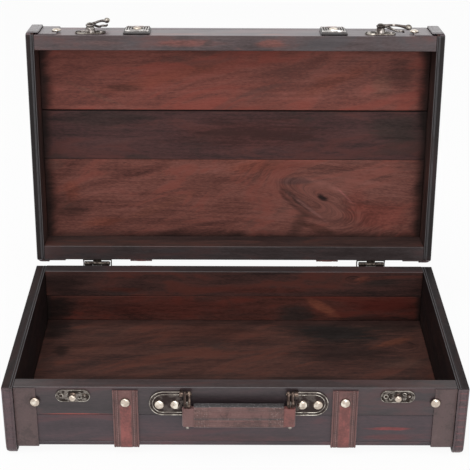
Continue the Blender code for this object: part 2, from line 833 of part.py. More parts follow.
def build_hooks():
    for side, label, angle in ((-1, "left", left_hook_angle), (1, "right", right_hook_angle)):
        pivot = add_empty(f"{label}_hook_pivot_axis", lid_frame, (side * latch_x, lid_front_face, hook_rise),
                          (pi / 2, 0, 0))
        turn = (0, 0, angle)
        eye_low = pedestal_level + piece_gap
        eye = cylinder_mesh(hook_eye_r, eye_low, eye_low + hook_eye_t)
        hook = add_piece(f"{label}_hook", eye, antique_brass, pivot, rotation=turn)
        knob = ellipsoid_mesh(hook_knob_length, hook_knob_width,
                              (hook_knob_reach, hook_knob_side, hook_knob_level))
        join(hook, add_tool(f"{label}_hook_arm", wire_mesh(hook_arm_points(), hook_wire_r), pivot, rotation=turn),
             add_tool(f"{label}_hook_lever", wire_mesh(hook_lever_points(), hook_lever_r), pivot, rotation=turn),
             add_tool(f"{label}_hook_knob", knob, pivot, rotation=turn))
        bore = cylinder_mesh(rivet_r + piece_gap, 0, cut_overrun)
        cut(hook, add_tool(f"{label}_hook_bore", bore, pivot, rotation=turn))


def build_buckles():
    """A stepped plate with ridges, on the wide end of each lid strap."""
    for side, label in sides:
        base_level = strap_nail_rise
        layers = []
        level = base_level
        shrink = 0.0
        for thickness in (buckle_base_t, buckle_step_t, buckle_step_t):
            half_w = buckle_w / 2 - shrink
            half_h = buckle_h / 2 - shrink
            layers.append(box_mesh((-half_w, -half_h, level if not layers else base_level),
                                   (half_w, half_h, level + thickness)))
            level += thickness
            shrink += buckle_ridge_w / 2
        place = (side * strap_x, lid_front_face, lid_board_rise + buckle_rise)
        buckle = add_piece(f"{label}_buckle", layers[0], antique_brass, lid_frame, place, (pi / 2, 0, 0))
        for number, layer in enumerate(layers[1:], 1):
            join(buckle, add_tool(f"{label}_buckle_step_{number}", layer, lid_frame, place, (pi / 2, 0, 0)))
        join_fasteners(f"{label}_buckle_stud", buckle, dome_mesh, [buckle_stud_place(side)], lid_frame)


# Handle: plates with a lug and a rest tongue on the tray, then the links, rods and grip that swing

def half_oblong(inner, outer, height):
    """A plate outline with a straight inner end and a round outer end."""
    radius = height / 2
    return [(inner, radius), (inner, -radius)] + arc((outer - radius, 0), radius, -pi / 2, pi / 2, 10)


def build_handle_plates():
    pin = turned_mesh([(0, handle_pin_head_t), (handle_pin_head_r, handle_pin_head_t), (handle_pin_head_r, 0),
                       (handle_pin_r, 0), (handle_pin_r, -handle_pin_length), (0, -handle_pin_length)])
    for side, label in sides:
        plate_z = tray_height - handle_plate_drop
        face = tray_front_face - piece_gap
        mesh = outline_mesh([half_oblong(handle_plate_inner, handle_plate_outer, handle_plate_h)], handle_bead_t)
        mirror = Matrix.Diagonal((side, 1, 1, 1))
        pocket = outline_mesh([half_oblong(handle_plate_inner - cut_overrun, handle_plate_outer - handle_bead_w,
                                           handle_plate_h - 2 * handle_bead_w)], cut_overrun)
        for shape in (mesh, pocket):
            shape.transform(mirror)
            if side < 0:
                shape.flip_normals()
        plate = add_piece(f"{label}_handle_plate", mesh, antique_brass, case,
                          (handle_x, face - handle_bead_t / 2, plate_z), (pi / 2, 0, 0))
        cut(plate, add_tool(f"{label}_handle_plate_pocket", pocket, case,
                            (handle_x, face - handle_plate_t - cut_overrun / 2, plate_z), (pi / 2, 0, 0)))

        def reach(near, far):
            """Two places along X on this side of the handle's middle, low one first."""
            return sorted((handle_x + side * near, handle_x + side * far))

        lug_near, lug_far = reach(handle_lug_inner, handle_lug_inner + handle_lug_w)
        block = box_mesh((lug_near, handle_pin_y, handle_pin_z - handle_lug_r),
                         (lug_far, face, handle_pin_z + handle_lug_r))
        eye = cylinder_mesh(handle_lug_r, lug_near, lug_far, axis='X')
        near, far = reach(handle_rod_x - link_w / 2, handle_plate_inner + handle_bead_w)
        rest_y = handle_pin_y + link_rear(-handle_tongue_top) + piece_gap
        tongue = box_mesh((near, rest_y, handle_pin_z - handle_tongue_top - handle_tongue_h),
                          (far, face, handle_pin_z - handle_tongue_top))
        join(plate, add_tool(f"{label}_lug_block", block, case),
             add_tool(f"{label}_lug_eye", eye, case, (0, handle_pin_y, handle_pin_z)),
             add_tool(f"{label}_rest_tongue", tongue, case))
        pin_place = (Matrix.Translation((handle_x + side * (handle_rod_x - link_w / 2 - piece_gap),
                                         handle_pin_y, handle_pin_z)) @ Matrix.Rotation(side * -pi / 2, 4, 'Y'))
        join_fasteners(f"{label}_handle_pin", plate, pin, [pin_place], case)
        join_fasteners(f"{label}_handle_nails", plate, dome_mesh, handle_nail_places(side), case)


def belt_outline(first, first_r, second, second_r):
    """The outline of a belt round two circles."""
    away_x, away_y = second[0] - first[0], second[1] - first[1]
    heading = atan2(away_y, away_x)
    spread = acos((first_r - second_r) / hypot(away_x, away_y))
    return (arc(first, first_r, heading + spread, heading + 2 * pi - spread, 10)
            + arc(second, second_r, heading - spread, heading + spread, 10))


handle_rod_shift = handle_rod_rise - handle_pin_rise
handle_lug_inner = handle_rod_x + link_w / 2 + piece_gap
handle_pin_length = link_w + 2 * piece_gap + handle_lug_w / 2


def link_rear(height):
    """How far behind its pin the link's straight side reaches, at a height below the pin."""
    tilt = (atan2(-handle_rod_drop, -handle_rod_shift)
            + acos((link_pin_inner_r + link_t - link_ball_outer_r) / hypot(handle_rod_drop, handle_rod_shift)))
    return -handle_rod_shift + (link_ball_outer_r - sin(tilt) * (height + handle_rod_drop)) / cos(tilt)


def rod_profile():
    """A rod with a ball at each end, its top ball centred at z = 0."""
    length = handle_rod_end - handle_rod_drop
    neck = asin(handle_rod_r / handle_ball_r)
    top = arc((0, 0), handle_ball_r, pi / 2, neck - pi / 2, 6)
    bottom = arc((0, -length), handle_ball_r, pi / 2 - neck, -pi / 2, 6)
    return [(max(radius, 0.0), height) for radius, height in top + bottom]


def build_handle():
    pin = (0, 0)
    ball = (-handle_rod_shift, -handle_rod_drop)
    loop = [belt_outline(pin, link_pin_inner_r + link_t, ball, link_ball_outer_r),
            belt_outline(pin, link_pin_inner_r, ball, link_ball_inner_r)]
    rod_bore = handle_rod_r + piece_gap
    rod = turned_mesh(rod_profile())
    bores = []
    for side, label in sides:
        rod_place = (side * handle_rod_x, -handle_rod_shift, -handle_rod_drop)
        link = add_piece(f"{label}_handle_link", outline_mesh(loop, link_w), dark_bronze, handle_frame,
                         (side * handle_rod_x, 0, 0), (pi / 2, 0, pi / 2))
        hole = add_tool(f"{label}_link_hole", cylinder_mesh(rod_bore, -cut_overrun, 0), handle_frame, rod_place)
        cut(link, hole)
        add_piece(f"{label}_handle_rod", rod.copy(), antique_brass, handle_frame, rod_place)
        bores.append(add_tool(f"{label}_grip_bore", cylinder_mesh(rod_bore, -grip_bottom - cut_overrun,
                                                                  cut_overrun),
                              handle_frame, (side * handle_rod_x, -handle_rod_shift, 0)))
    half_t = grip_t / 2
    body = box_mesh((-grip_body_half_length, -half_t, -grip_bottom), (grip_body_half_length, half_t, -grip_top))
    grip = add_piece("handle_grip", body, red_leather, handle_frame, (0, -handle_rod_shift, 0))
    soften(grip, grip_round, 2)
    end_r = grip_end_t / 2
    run = grip_half_length - end_r
    strip = outline_mesh([arc((run, 0), end_r, -pi / 2, pi / 2, 6) + arc((-run, 0), end_r, pi / 2, 3 * pi / 2, 6)],
                         grip_bottom - piece_gap - grip_end_top)
    join(grip, add_tool("grip_ends", strip, handle_frame,
                        (0, -handle_rod_shift, -(grip_bottom - piece_gap + grip_end_top) / 2)))
    cut(grip, *bores)


# Hinges: a leaf on each back wall, knuckles on a common pin, and ears on the lid leaf that stop the lid

def ear_outline():
    """A curved arm round the barrel; its foot meets the tray leaf when the lid is open."""
    leaf_face = wall_to_axis - piece_gap - hinge_leaf_t
    foot_r = ear_end_r + ear_w / 2
    end_angle = -pi / 2 - asin((leaf_face - piece_gap) / foot_r) + lid_open_angle
    outer, inner = [], []
    steps = 10
    for step in range(steps + 1):
        share = step / steps
        angle = ear_start_angle + (end_angle - ear_start_angle) * share
        radius = ear_start_r + (ear_end_r - ear_start_r) * share
        outer.append(((radius + ear_w / 2) * cos(angle), (radius + ear_w / 2) * sin(angle)))
        inner.append(((radius - ear_w / 2) * cos(angle), (radius - ear_w / 2) * sin(angle)))
    return outer + inner[::-1]


def add_leaf(name, parent, place, away, knuckles, screws, ears=False):
    """One hinge leaf; away is -1 below the axis and 1 above it, with the lid shut."""
    half_w = hinge_leaf_w / 2
    inner = -wall_to_axis + piece_gap

    def block(low_x, high_x, high_y, start, end):
        low_z, high_z = sorted((away * start, away * end))
        return box_mesh((low_x, inner, low_z), (high_x, high_y, high_z))

    leaf = add_piece(name, block(-half_w, half_w, inner + hinge_leaf_t, hinge_leaf_start, hinge_leaf_end),
                     antique_brass, parent, place)
    for number, (low_x, high_x) in enumerate(knuckles, 1):
        web = block(low_x, high_x, 0, hinge_web_start, hinge_web_end)
        join(leaf, add_tool(f"{name}_web_{number}", web, parent, place),
             add_tool(f"{name}_knuckle_{number}", cylinder_mesh(hinge_barrel_r, low_x, high_x, axis='X'),
                      parent, place))
    if ears:
        ear_x = half_w - ear_t / 2
        for side, label in sides:
            ear = add_tool(f"{name}_{label}_ear", outline_mesh([ear_outline()], ear_t), parent,
                           (place[0] + side * ear_x, place[1], place[2]), (pi / 2, 0, pi / 2))
            join(leaf, ear)
    bore = cylinder_mesh(hinge_pin_r + piece_gap, -hinge_leaf_w, hinge_leaf_w, axis='X')
    cut(leaf, add_tool(f"{name}_bore", bore, parent, place))
    join_fasteners(f"{name}_screws", leaf, screw_mesh, screws, parent)
    return leaf


def build_hinges():
    half_barrel = hinge_barrel_w / 2
    half_centre = hinge_centre_knuckle_w / 2
    outer = half_centre + piece_gap
    for side, label in sides:
        add_leaf(f"{label}_hinge_tray_leaf", case, (side * hinge_x, hinge_y, hinge_z), -1,
                 ((-half_barrel, -outer), (outer, half_barrel)), screw_places(tray, side))
        add_leaf(f"{label}_hinge_lid_leaf", lid_frame, (side * hinge_x, 0, 0), 1,
                 ((-half_centre, half_centre),), screw_places(lid, side), ears=True)
    pin_half = half_barrel + piece_gap
    pin = turned_mesh([(0, pin_half + hinge_pin_head_t), (hinge_pin_head_r, pin_half + hinge_pin_head_t),
                       (hinge_pin_head_r, pin_half), (hinge_pin_r, pin_half), (hinge_pin_r, -pin_half),
                       (0, -pin_half)])
    for side, label in sides:
        place = Matrix.Translation((side * hinge_x, hinge_y, hinge_z)) @ Matrix.Rotation(pi / 2, 4, 'Y')
        add_fastener(f"{label}_hinge_pin", pin, place, antique_brass, case)


build_tray_boards()
build_lid_boards()
build_ends_and_leather(tray, tray_end_board_t, tray_end_panel_t, tray_end_t, tray_front_holes)
build_ends_and_leather(lid, lid_end_board_t, lid_end_panel_t, lid_end_t, lid_front_holes)
build_fasteners()
build_latch_plates()
build_hooks()
build_buckles()
build_handle_plates()
build_handle()
build_hinges()
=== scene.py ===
# Looks of the wooden suitcase box: stained boards, tooled leather and aged brass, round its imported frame.
# Metres, in the frame's own place: X runs along the case, its front faces -Y, and it stands on z = 0.
# Rows of marks, profiles and insets count millimetres, and colours are red, green and blue in thousandths.
import json
from math import acos, atan2, cos, hypot, pi, radians, sin

import bmesh
import bpy
from bmesh.types import BMEdge, BMFace, BMVert
from mathutils import Matrix, Vector


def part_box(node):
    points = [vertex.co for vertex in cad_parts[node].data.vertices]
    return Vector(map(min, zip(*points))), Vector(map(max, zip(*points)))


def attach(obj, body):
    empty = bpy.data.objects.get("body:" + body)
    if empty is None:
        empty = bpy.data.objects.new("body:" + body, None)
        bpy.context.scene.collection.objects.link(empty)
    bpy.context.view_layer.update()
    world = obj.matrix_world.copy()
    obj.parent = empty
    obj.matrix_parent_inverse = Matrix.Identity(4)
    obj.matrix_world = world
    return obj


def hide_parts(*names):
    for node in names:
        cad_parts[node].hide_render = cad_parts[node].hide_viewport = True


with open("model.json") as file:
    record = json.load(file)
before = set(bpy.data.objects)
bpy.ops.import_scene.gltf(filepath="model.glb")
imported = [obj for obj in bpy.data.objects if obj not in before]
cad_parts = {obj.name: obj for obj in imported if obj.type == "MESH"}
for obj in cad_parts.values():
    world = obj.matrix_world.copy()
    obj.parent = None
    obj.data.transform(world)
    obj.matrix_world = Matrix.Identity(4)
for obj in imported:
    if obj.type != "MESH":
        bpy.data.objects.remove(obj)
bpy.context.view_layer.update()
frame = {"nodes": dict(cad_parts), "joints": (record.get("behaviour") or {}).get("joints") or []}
mm = 0.001

# Sizes of the case, read from its frame
lid_hinge = next(joint for joint in frame["joints"] if joint["name"] == "lid_hinge")
lid_axis = Vector(lid_hinge["pos_m"])
lid_lean = radians(lid_hinge["range_deg"][1])
tray_low, tray_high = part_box("left_tray_end_board")
half_length = -tray_low.x
piece_gap, band_t, strap_t, lid_height = 0.0003, 0.0015, 0.0016, 0.042
front_edge = tray_low.y - band_t - piece_gap
case_depth = tray_high.y - tray_low.y + 2 * (band_t + piece_gap)
tray_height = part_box("tray_front_upper_board")[1].z
strap_x = 0.0945
sides = ((-1, "left"), (1, "right"))

# Places counted as a case maker does: along x, back from the front edge, and away from the rim
tray_place = Matrix.Translation((0, front_edge, tray_height)) @ Matrix.Diagonal((1, 1, -1, 1))
lid_turn = Matrix.Translation(lid_axis) @ Matrix.Rotation(-lid_lean, 4, 'X')
lid_front = front_edge - lid_axis.y
lid_rim = lid_axis.z - tray_height
lid_place = lid_turn @ Matrix.Translation((0, lid_front, lid_rim))


# Wiring of the shader nodes

class Value:
    """What comes out of a shader node; sums and products of values are wired as maths nodes."""

    def __init__(self, tree, socket):
        self.tree, self.socket = tree, socket

    def maths(self, operation, *others):
        return wire(self.tree, "Math", dict(enumerate((self, *others))), operation=operation)[0]

    def vector(self, operation, other):
        return wire(self.tree, "VectorMath", {0: self, 1: other}, operation=operation)[0]

    def __add__(self, other):
        return self.maths('ADD', other)

    def __sub__(self, other):
        return self.maths('SUBTRACT', other)

    def __rsub__(self, other):
        return self.maths('MULTIPLY_ADD', -1.0, other)

    def __mul__(self, other):
        return self.maths('MULTIPLY', other)

    __rmul__ = __mul__

    def __truediv__(self, other):
        return self.maths('DIVIDE', other)

    def __abs__(self):
        return self.maths('ABSOLUTE')

    def parts(self):
        """The three coordinates of a place."""
        outputs = wire(self.tree, "SeparateXYZ", {0: self})
        return outputs[0], outputs[1], outputs[2]

    def turn(self, angle):
        return wire(self.tree, "VectorRotate", {0: self, "Angle": angle}, rotation_type='Z_AXIS')[0]

    def between(self, low, high, low_to=0.0, high_to=1.0):
        """Stretched from one range to another, with a soft start and end."""
        return wire(self.tree, "MapRange", {0: self, 1: low, 2: high, 3: low_to, 4: high_to},
                    interpolation_type='SMOOTHSTEP')[0]

    def mingle(self, first, second):
        """Two colours, with the second in this share."""
        return wire(self.tree, "Mix", {0: self, 6: first, 7: second}, data_type='RGBA')[2]

    def noise(self, scale, detail=4.0, roughness=0.6, distortion=0.0):
        return wire(self.tree, "TexNoise", {"Vector": self, "Scale": scale, "Detail": detail, "Roughness": roughness,
                                            "Distortion": distortion})[0]


def feed(tree, socket, value):
    """Wire a value into a socket or set it there; a colour may come without its fourth number."""
    if isinstance(value, Value):
        tree.links.new(value.socket, socket)
    elif socket.type == 'RGBA' and len(value) == 3:
        socket.default_value = (*value, 1.0)
    else:
        socket.default_value = value


def wire(tree, kind, inputs=None, **settings):
    """One shader node with its settings and inputs; returns its outputs by number and by name."""
    node = tree.nodes.new("ShaderNode" + kind)
    for name, value in settings.items():
        setattr(node, name, value)
    for key, value in (inputs or {}).items():
        feed(tree, node.inputs[key], value)
    return {key: Value(tree, socket) for number, socket in enumerate(node.outputs) for key in (number, socket.name)}


def effect(name, inputs, outputs):
    """Make a node group of a function that wires its inputs into its outputs; the function then uses the group."""
    def make_group(wiring):
        group = bpy.data.node_groups.new(name, 'ShaderNodeTree')
        for label in inputs.split():
            kind = "NodeSocketVector" if label in ("Place", "Middle", "Low", "High") else "NodeSocketFloat"
            group.interface.new_socket(name=label, in_out='INPUT', socket_type=kind)
        for label in outputs.split():
            group.interface.new_socket(name=label, in_out='OUTPUT', socket_type="NodeSocketFloat")
        given = group.nodes.new("NodeGroupInput").outputs
        result = group.nodes.new("NodeGroupOutput").inputs
        for label, value in zip(outputs.split(), wiring(*[Value(group, given[label]) for label in inputs.split()])):
            feed(group, result[label], value)

        def use(*values):
            node = wire(values[0].tree, "Group", dict(enumerate(values)), node_tree=group)
            return [node[label] for label in outputs.split()]

        return use
    return make_group


# Effects of the wood

@effect("knot_in_the_grain", "Place Flow Middle Length Width Tilt", "Flow Halo Rings Below Above")
def knot_in(place, flow, middle, length, width, tilt):
    """Grain that parts round a knot: an almond of rings with a dark line below it and a pale one above."""
    x, y, _ = place.vector('SUBTRACT', middle).turn(tilt).parts()
    along, across = x / length, y / width
    along_2 = along * along
    push = width * (across / (across * across + (along_2 * 0.8 + 0.15)))
    reach = (place.noise(55.0, 3.0) - 0.5) * 0.45 + (abs(across) + along_2)
    rings = (reach * 30.0).maths('SINE') * reach.between(0.2, 1.4, 1.0, 0.0)
    line = abs(reach - 1.0).between(0.0, 0.24, 1.0, 0.0)
    return (flow - push, reach.between(0.85, 1.1, 1.0, 0.0), rings, line * across.between(0.1, 0.5),
            line * across.between(-0.1, -0.5))


@effect("grain_of_the_board", "Place Flow Seed Slant", "Figure Pores Sweeps Clouds Height")
def grain_of(place, flow, seed, slant):
    """Streaks, fine lines and pores along the grain, and stain brushed over them in slanting sweeps and clouds."""
    along = place.parts()[0]
    slanting = flow - along * slant

    def over(level, run, across, detail, distortion=0.0):
        spot = wire(place.tree, "CombineXYZ", {0: along * run, 1: level * across, 2: seed})[0]
        return spot.noise(1.0, detail, 0.62, distortion)

    streaks = over(flow, 7.0, 60.0, 4.0, 0.4)
    sweeps = over(slanting, 10.0, 38.0, 5.0, 0.9)
    lines = over(flow, 18.0, 340.0, 4.0, 0.2)
    fine = over(flow, 230.0, 1000.0, 2.0)
    return (streaks * 0.24 + sweeps * 0.34 + lines * 0.20 + fine * 0.22,
            over(flow, 70.0, 1600.0, 2.0).between(0.56, 0.70), sweeps, over(slanting, 13.0, 24.0, 5.0, 1.0),
            fine * 0.5 + lines * 0.5)


@effect("broken_patch", "Place Middle Length Width Tilt", "Mask")
def broken_patch(place, middle, length, width, tilt):
    """A patch with broken edges: stain that has gathered or wears through, and in places painted shade near walls and
    corners.
    """
    x, y, z = place.vector('SUBTRACT', middle).parts()
    x, y, _ = wire(place.tree, "CombineXYZ", {0: x, 1: y + z})[0].turn(tilt).parts()
    along, across = x / length, y / width
    reach = (along * along + across * across).maths('SQRT')
    torn = place.vector('MULTIPLY', (30.0, 170.0, 170.0)).noise(1.0, 6.0, 0.7, 0.5)
    return [((torn - 0.5) * 1.8 + reach).between(0.35, 1.15, 1.0, 0.0)]


@effect("nearest_edge", "Place Low High", "Distance")
def nearest_edge(place, low, high):
    """How near a place on a box is to the box's nearest edge, in metres."""
    x, y, z = place.vector('SUBTRACT', low).vector('MINIMUM', high.vector('SUBTRACT', place)).parts()
    least = x.maths('MINIMUM', y).maths('MINIMUM', z)
    most = x.maths('MAXIMUM', y).maths('MAXIMUM', z)
    return [x + y + z - least - most]


# Stained wood

def tones_of(*thousandths):
    """Colours from their red, green and blue in thousandths, one after the other."""
    return [tuple(part / 1000 for part in thousandths[at:at + 3]) for at in range(0, len(thousandths), 3)]


# Stains: deep, middle and pale, then the red that shows through and the grey that lies on top
lid_red = tones_of(106, 39, 33, 184, 61, 48, 279, 98, 79, 245, 57, 42, 106, 57, 50)
lid_brown = tones_of(72, 27, 23, 153, 56, 44, 240, 96, 78, 215, 58, 43, 94, 52, 44)
lid_grey = tones_of(34, 22, 21, 72, 34, 33, 105, 50, 46, 105, 38, 33, 41, 31, 28)
lid_dark = tones_of(28, 17, 16, 50, 29, 26, 80, 44, 37, 90, 36, 29, 42, 34, 32)
tray_brown = tones_of(25, 15, 14, 63, 29, 25, 98, 43, 36, 112, 31, 22, 42, 31, 28)
tray_red = tones_of(26, 12, 10, 77, 26, 20, 113, 41, 32, 123, 25, 17, 38, 25, 22)
floor_brown = tones_of(34, 18, 16, 67, 30, 24, 108, 48, 37, 102, 34, 24, 38, 26, 23)
tray_black = tones_of(7, 5, 5, 13, 7, 7, 21, 13, 11, 22, 10, 9, 11, 9, 9)
black_outside = tones_of(29, 17, 22, 49, 29, 36, 78, 40, 47, 95, 31, 36, 38, 30, 38)
# A darker, greyer copy of the outside stain for the front upper board: painted shade for the handle's shadow and a
# dimmer sheen.
painted_shade_upper_outside = tones_of(24, 16, 18, 40, 27, 30, 63, 40, 44, 76, 31, 33, 32, 28, 33)
# A pale grey copy of the outside stain: painted sheen, standing for the grazing reflection on the lid's up-turned
# front faces.
painted_sheen_tones = tones_of(70, 50, 56, 105, 78, 86, 140, 108, 118, 150, 80, 82, 90, 80, 90)
black_edge = tones_of(8, 6, 6, 14, 10, 10, 25, 20, 20, 28, 14, 13, 16, 15, 16)
smoky_rim = tones_of(19, 12, 12, 35, 24, 24, 56, 44, 45, 62, 28, 26, 35, 33, 35)
pale_rim = tones_of(49, 32, 33, 83, 58, 59, 122, 94, 98, 127, 56, 51, 73, 71, 77)
rust, orange, grey = (130, 45, 28), (190, 56, 38), (30, 23, 21)
# A sooty dark tone, for the glazing and for painted shade near walls and corners.
soot_and_shade = (15, 10, 9)
# Pale grey for edges lightened by rubbing and a painted highlight, and the near black of pores.
rub_and_highlight_tone, pore_tone = tones_of(115, 110, 115, 8, 5, 5)


def start_material(name):
    material = bpy.data.materials.new(name)
    material.use_nodes = True
    return material, material.node_tree


def finish_material(material, colour, roughness, bump, **uniform):
    """Wire a material's looks into its shader; the bump is its strength, its distance and its height."""
    tree = material.node_tree
    relief = wire(tree, "Bump", dict(zip(("Strength", "Distance", "Height"), bump)))[0]
    looks = {"Base Color": colour, "Roughness": roughness, "Normal": relief}
    looks.update({name.replace("_", " "): value for name, value in uniform.items()})
    for label, value in looks.items():
        feed(tree, tree.nodes["Principled BSDF"].inputs[label], value)
    return material


def paint(nodes, material):
    """Give CAD nodes a better material."""
    for node in nodes:
        for slot in frame["nodes"][node].material_slots:
            slot.material = material


def stained_wood(name, order, seed, inside, outside=black_outside, levels=None, in_lid=False, slant=0.0, face=0.0,
                 knots=(), patches=(), glaze_with_shade=None, rims=(), rubbed=None, shine=0.0):
    """Stained boards: inside and outside tones, knots, patches, dark glazing with painted shade near walls, a smoky
    rim and other bands (among them painted sheen and a painted shadow line), and edges lightened by rubbing and a
    painted highlight.

    The order names the axes along the grain, across it and through the board; a lid's board is read as if shut."""
    material, tree = start_material(name)
    place = wire(tree, "TexCoord")["Object"]
    if in_lid:
        place = wire(tree, "Mapping", {"Vector": place, "Location": lid_axis, "Rotation": (-lid_lean, 0, 0)},
                     vector_type='TEXTURE')[0]
    on_axis = dict(zip("xyz", place.parts()))
    picked = [on_axis[letter] for letter in order]
    board = wire(tree, "CombineXYZ", dict(enumerate(picked)))[0]
    flow = picked[1] + picked[2]
    marks = []
    for x, y, length, width, tilt in knots:
        flow, *masks = knot_in(board, flow, (x * mm, y * mm, face), length * mm, width * mm, radians(tilt))
        marks += zip(masks, (0.40, 0.09, 0.75, 0.60), (1, 0, 0, 2), (0.7, 1.0, 0.45, 1.0))
    figure, pores, sweeps, clouds, height = grain_of(board, flow, seed, slant)
    shade = figure.between(0.42, 0.59, 0.68, 1.30)

    def grained(tone, scale):
        return wire(tree, "VectorMath", {0: Vector(tone) * scale, "Scale": shade}, operation='SCALE')[0]

    def brushed(stain):
        """One stain over the grain: its three tones, red where it is thin, grey where it lies thick."""
        tone = wire(tree, "ValToRGB", {0: figure})[0]
        stops = tone.socket.node.color_ramp.elements
        for spot, stop_tone in zip((0.40, 0.49, 0.60), stain):
            stops.new(spot).color = (*stop_tone, 1.0)
        stops.remove(stops[0])
        stops.remove(stops[len(stops) - 1])
        tone = sweeps.between(0.50, 0.62, 0.0, 0.6).mingle(tone, stain[3])
        return clouds.between(0.54, 0.68, 0.0, 0.5).mingle(tone, stain[4])

    colour = brushed(inside)
    for mask, share, number, scale in marks:
        colour = (mask * share).mingle(colour, grained(inside[number], scale))
    wet, bare = shine, 1.0
    if levels is not None:
        outer = picked[2].between(*levels)
        colour = outer.mingle(colour, brushed(outside))
        wet = outer.maths('MAXIMUM', shine)
        bare = 1.0 - outer
    for axis, start, end, tones, rim_shine in rims:
        rim = on_axis[axis].between(start, end)
        colour = rim.mingle(colour, brushed(tones))
        wet = rim.maths('MULTIPLY_ADD', rim_shine - wet, wet)
        bare = bare * (1.0 - rim)
    for x, y, length, width, tilt, tone, strength in patches:
        mask = broken_patch(board, (x * mm, y * mm, face), length * mm, width * mm, radians(tilt))[0]
        colour = (mask * strength).mingle(colour, grained(tone, 0.001))
    # Dark glazing near the walls, with painted shade where the walls meet.
    if glaze_with_shade is not None:
        low, high, reach = glaze_with_shade
        near = (clouds - 0.5) * (1.6 * reach) + nearest_edge(place, low, high)[0]
        near = near.between(0.1 * reach, 1.15 * reach, 0.92, 0.0)
        colour = (near * bare).mingle(colour, grained(soot_and_shade, 0.001))
    colour = (pores * 0.22).mingle(colour, pore_tone)
    # Rim edges lightened by rubbing and by a painted pale highlight.
    if rubbed is not None:
        low, high, strength = rubbed
        line = nearest_edge(place, low, high)[0].between(0.0002, 0.0009, strength, 0.0)
        colour = (line * rim * clouds.between(0.35, 0.50, 0.5, 1.0)).mingle(colour, rub_and_highlight_tone)
    return finish_material(material, colour, clouds.between(0.3, 0.7, 0.55, 0.75), (0.4, 0.0004, height),
                           Coat_Weight=wet, Coat_Roughness=0.36, Specular_IOR_Level=0.12)


inner_x = 0.1905
# The cavities of the tray and the lid, near whose walls dark glazing and painted shade gather.
tray_glaze_and_shade_box = ((-inner_x, -0.1297, 0.0), (inner_x, 0.0829, 0.3))
lid_glaze_and_shade_box = ((-0.1927, lid_front + 0.008, -0.3), (0.1927, -0.0136, 0.0308))
tray_rim = ('z', tray_height - 0.0007, tray_height - 0.0001)
lid_rim_levels = ('z', lid_rim + 0.0009, lid_rim + 0.0002)
floor_z, back_y, top_z = 0.012, 0.0729, 0.03075
plank_levels = (0.0355, 0.0372)

paint(["bottom_panel"], stained_wood(
    "floor_panel_wood", "xyz", 3.7, floor_brown, face=floor_z, levels=(0.0098, 0.0082), slant=0.4,
    rims=(("y", -0.1370, -0.1390, black_outside, 1.0), ("y", 0.0770, 0.0790, black_outside, 1.0)),
    knots=((169, 22.5, 13, 8, 0),),
    patches=((-30, 45, 70, 22, 0, (74, 26, 19), 0.5), (-152, 18, 32, 20, -20, (85, 36, 27), 0.5),
             (-170, 12, 9, 12, 0, soot_and_shade, 0.7), (-180, 58, 20, 28, 0, soot_and_shade, 0.85),
             (100, 50, 62, 30, 10, (18, 14, 13), 1.0), (155, 62, 45, 16, 0, (22, 15, 13), 0.8),
             (105, 10, 56, 24, 0, (20, 12, 11), 0.85), (157, 29, 26, 7, -25, rust, 0.85),
             (160, -10, 30, 14, -10, (70, 40, 32), 0.5), (0, -46, 260, 18, 0, (28, 18, 16), 0.65),
             (0, 71, 400, 12, 0, (32, 15, 13), 0.75)),
    glaze_with_shade=(*tray_glaze_and_shade_box, 0.011)))
paint(["tray_front_upper_board"], stained_wood(
    "front_upper_board_wood", "xzy", 11.3, tray_brown, outside=painted_shade_upper_outside, levels=(-0.1385, -0.1410),
    rims=((*tray_rim, smoky_rim, 0.6),), face=-0.143,
    patches=((-140.5, 40.5, 31, 1, 0, (320, 55, 40), 0.95),),
    rubbed=(*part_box("tray_front_upper_board"), 0.5)))
paint(["tray_front_lower_board"], stained_wood(
    "front_lower_board_wood", "xzy", 17.9, tray_brown, levels=(-0.1385, -0.1410), face=-0.142,
    patches=((134, 25.5, 19, 1.8, 0, (250, 34, 34), 0.85), (134, 16.5, 26, 3.4, 0, (130, 26, 28), 0.6),
             (-30, 14, 100, 6, 0, (75, 22, 22), 0.5))))
paint(["tray_back_upper_board"], stained_wood(
    "back_upper_board_wood", "xzy", 23.1, tray_brown, levels=(0.0790, 0.0815),
    rims=((*tray_rim, smoky_rim, 0.4),), face=back_y,
    knots=((119.9, 59.3, 9, 4, 0),),
    patches=((127.9, 60, 9, 2.8, -15, (150, 50, 34), 0.85), (147.3, 56, 24, 6, 0, grey, 0.7),
             (20, 47, 80, 4, 0, (85, 23, 17), 0.6), (-112, 47.5, 26, 3.5, 0, (90, 25, 18), 0.7),
             (-172, 54, 30, 15, 0, soot_and_shade, 0.65)),
    rubbed=(*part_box("tray_back_upper_board"), 0.35)))
paint(["tray_back_lower_board"], stained_wood(
    "back_lower_board_wood", "xzy", 29.7, tray_red, levels=(0.0790, 0.0815), face=back_y,
    patches=((-80, 26, 100, 12, 0, (78, 18, 13), 0.5), (-184, 25, 24, 18, 0, soot_and_shade, 0.85),
             (62, 18, 24, 14, 0, grey, 0.85), (150, 31, 40, 10, 0, (72, 14, 10), 0.85),
             (145, 13, 50, 6, 0, soot_and_shade, 0.7), (91, 26.5, 22, 6, 32, (165, 52, 32), 1.0)),
    # Dark glazing with painted shade near the side walls.
    glaze_with_shade=((-inner_x, -0.1297, -0.1), (inner_x, back_y, 0.3), 0.006)))
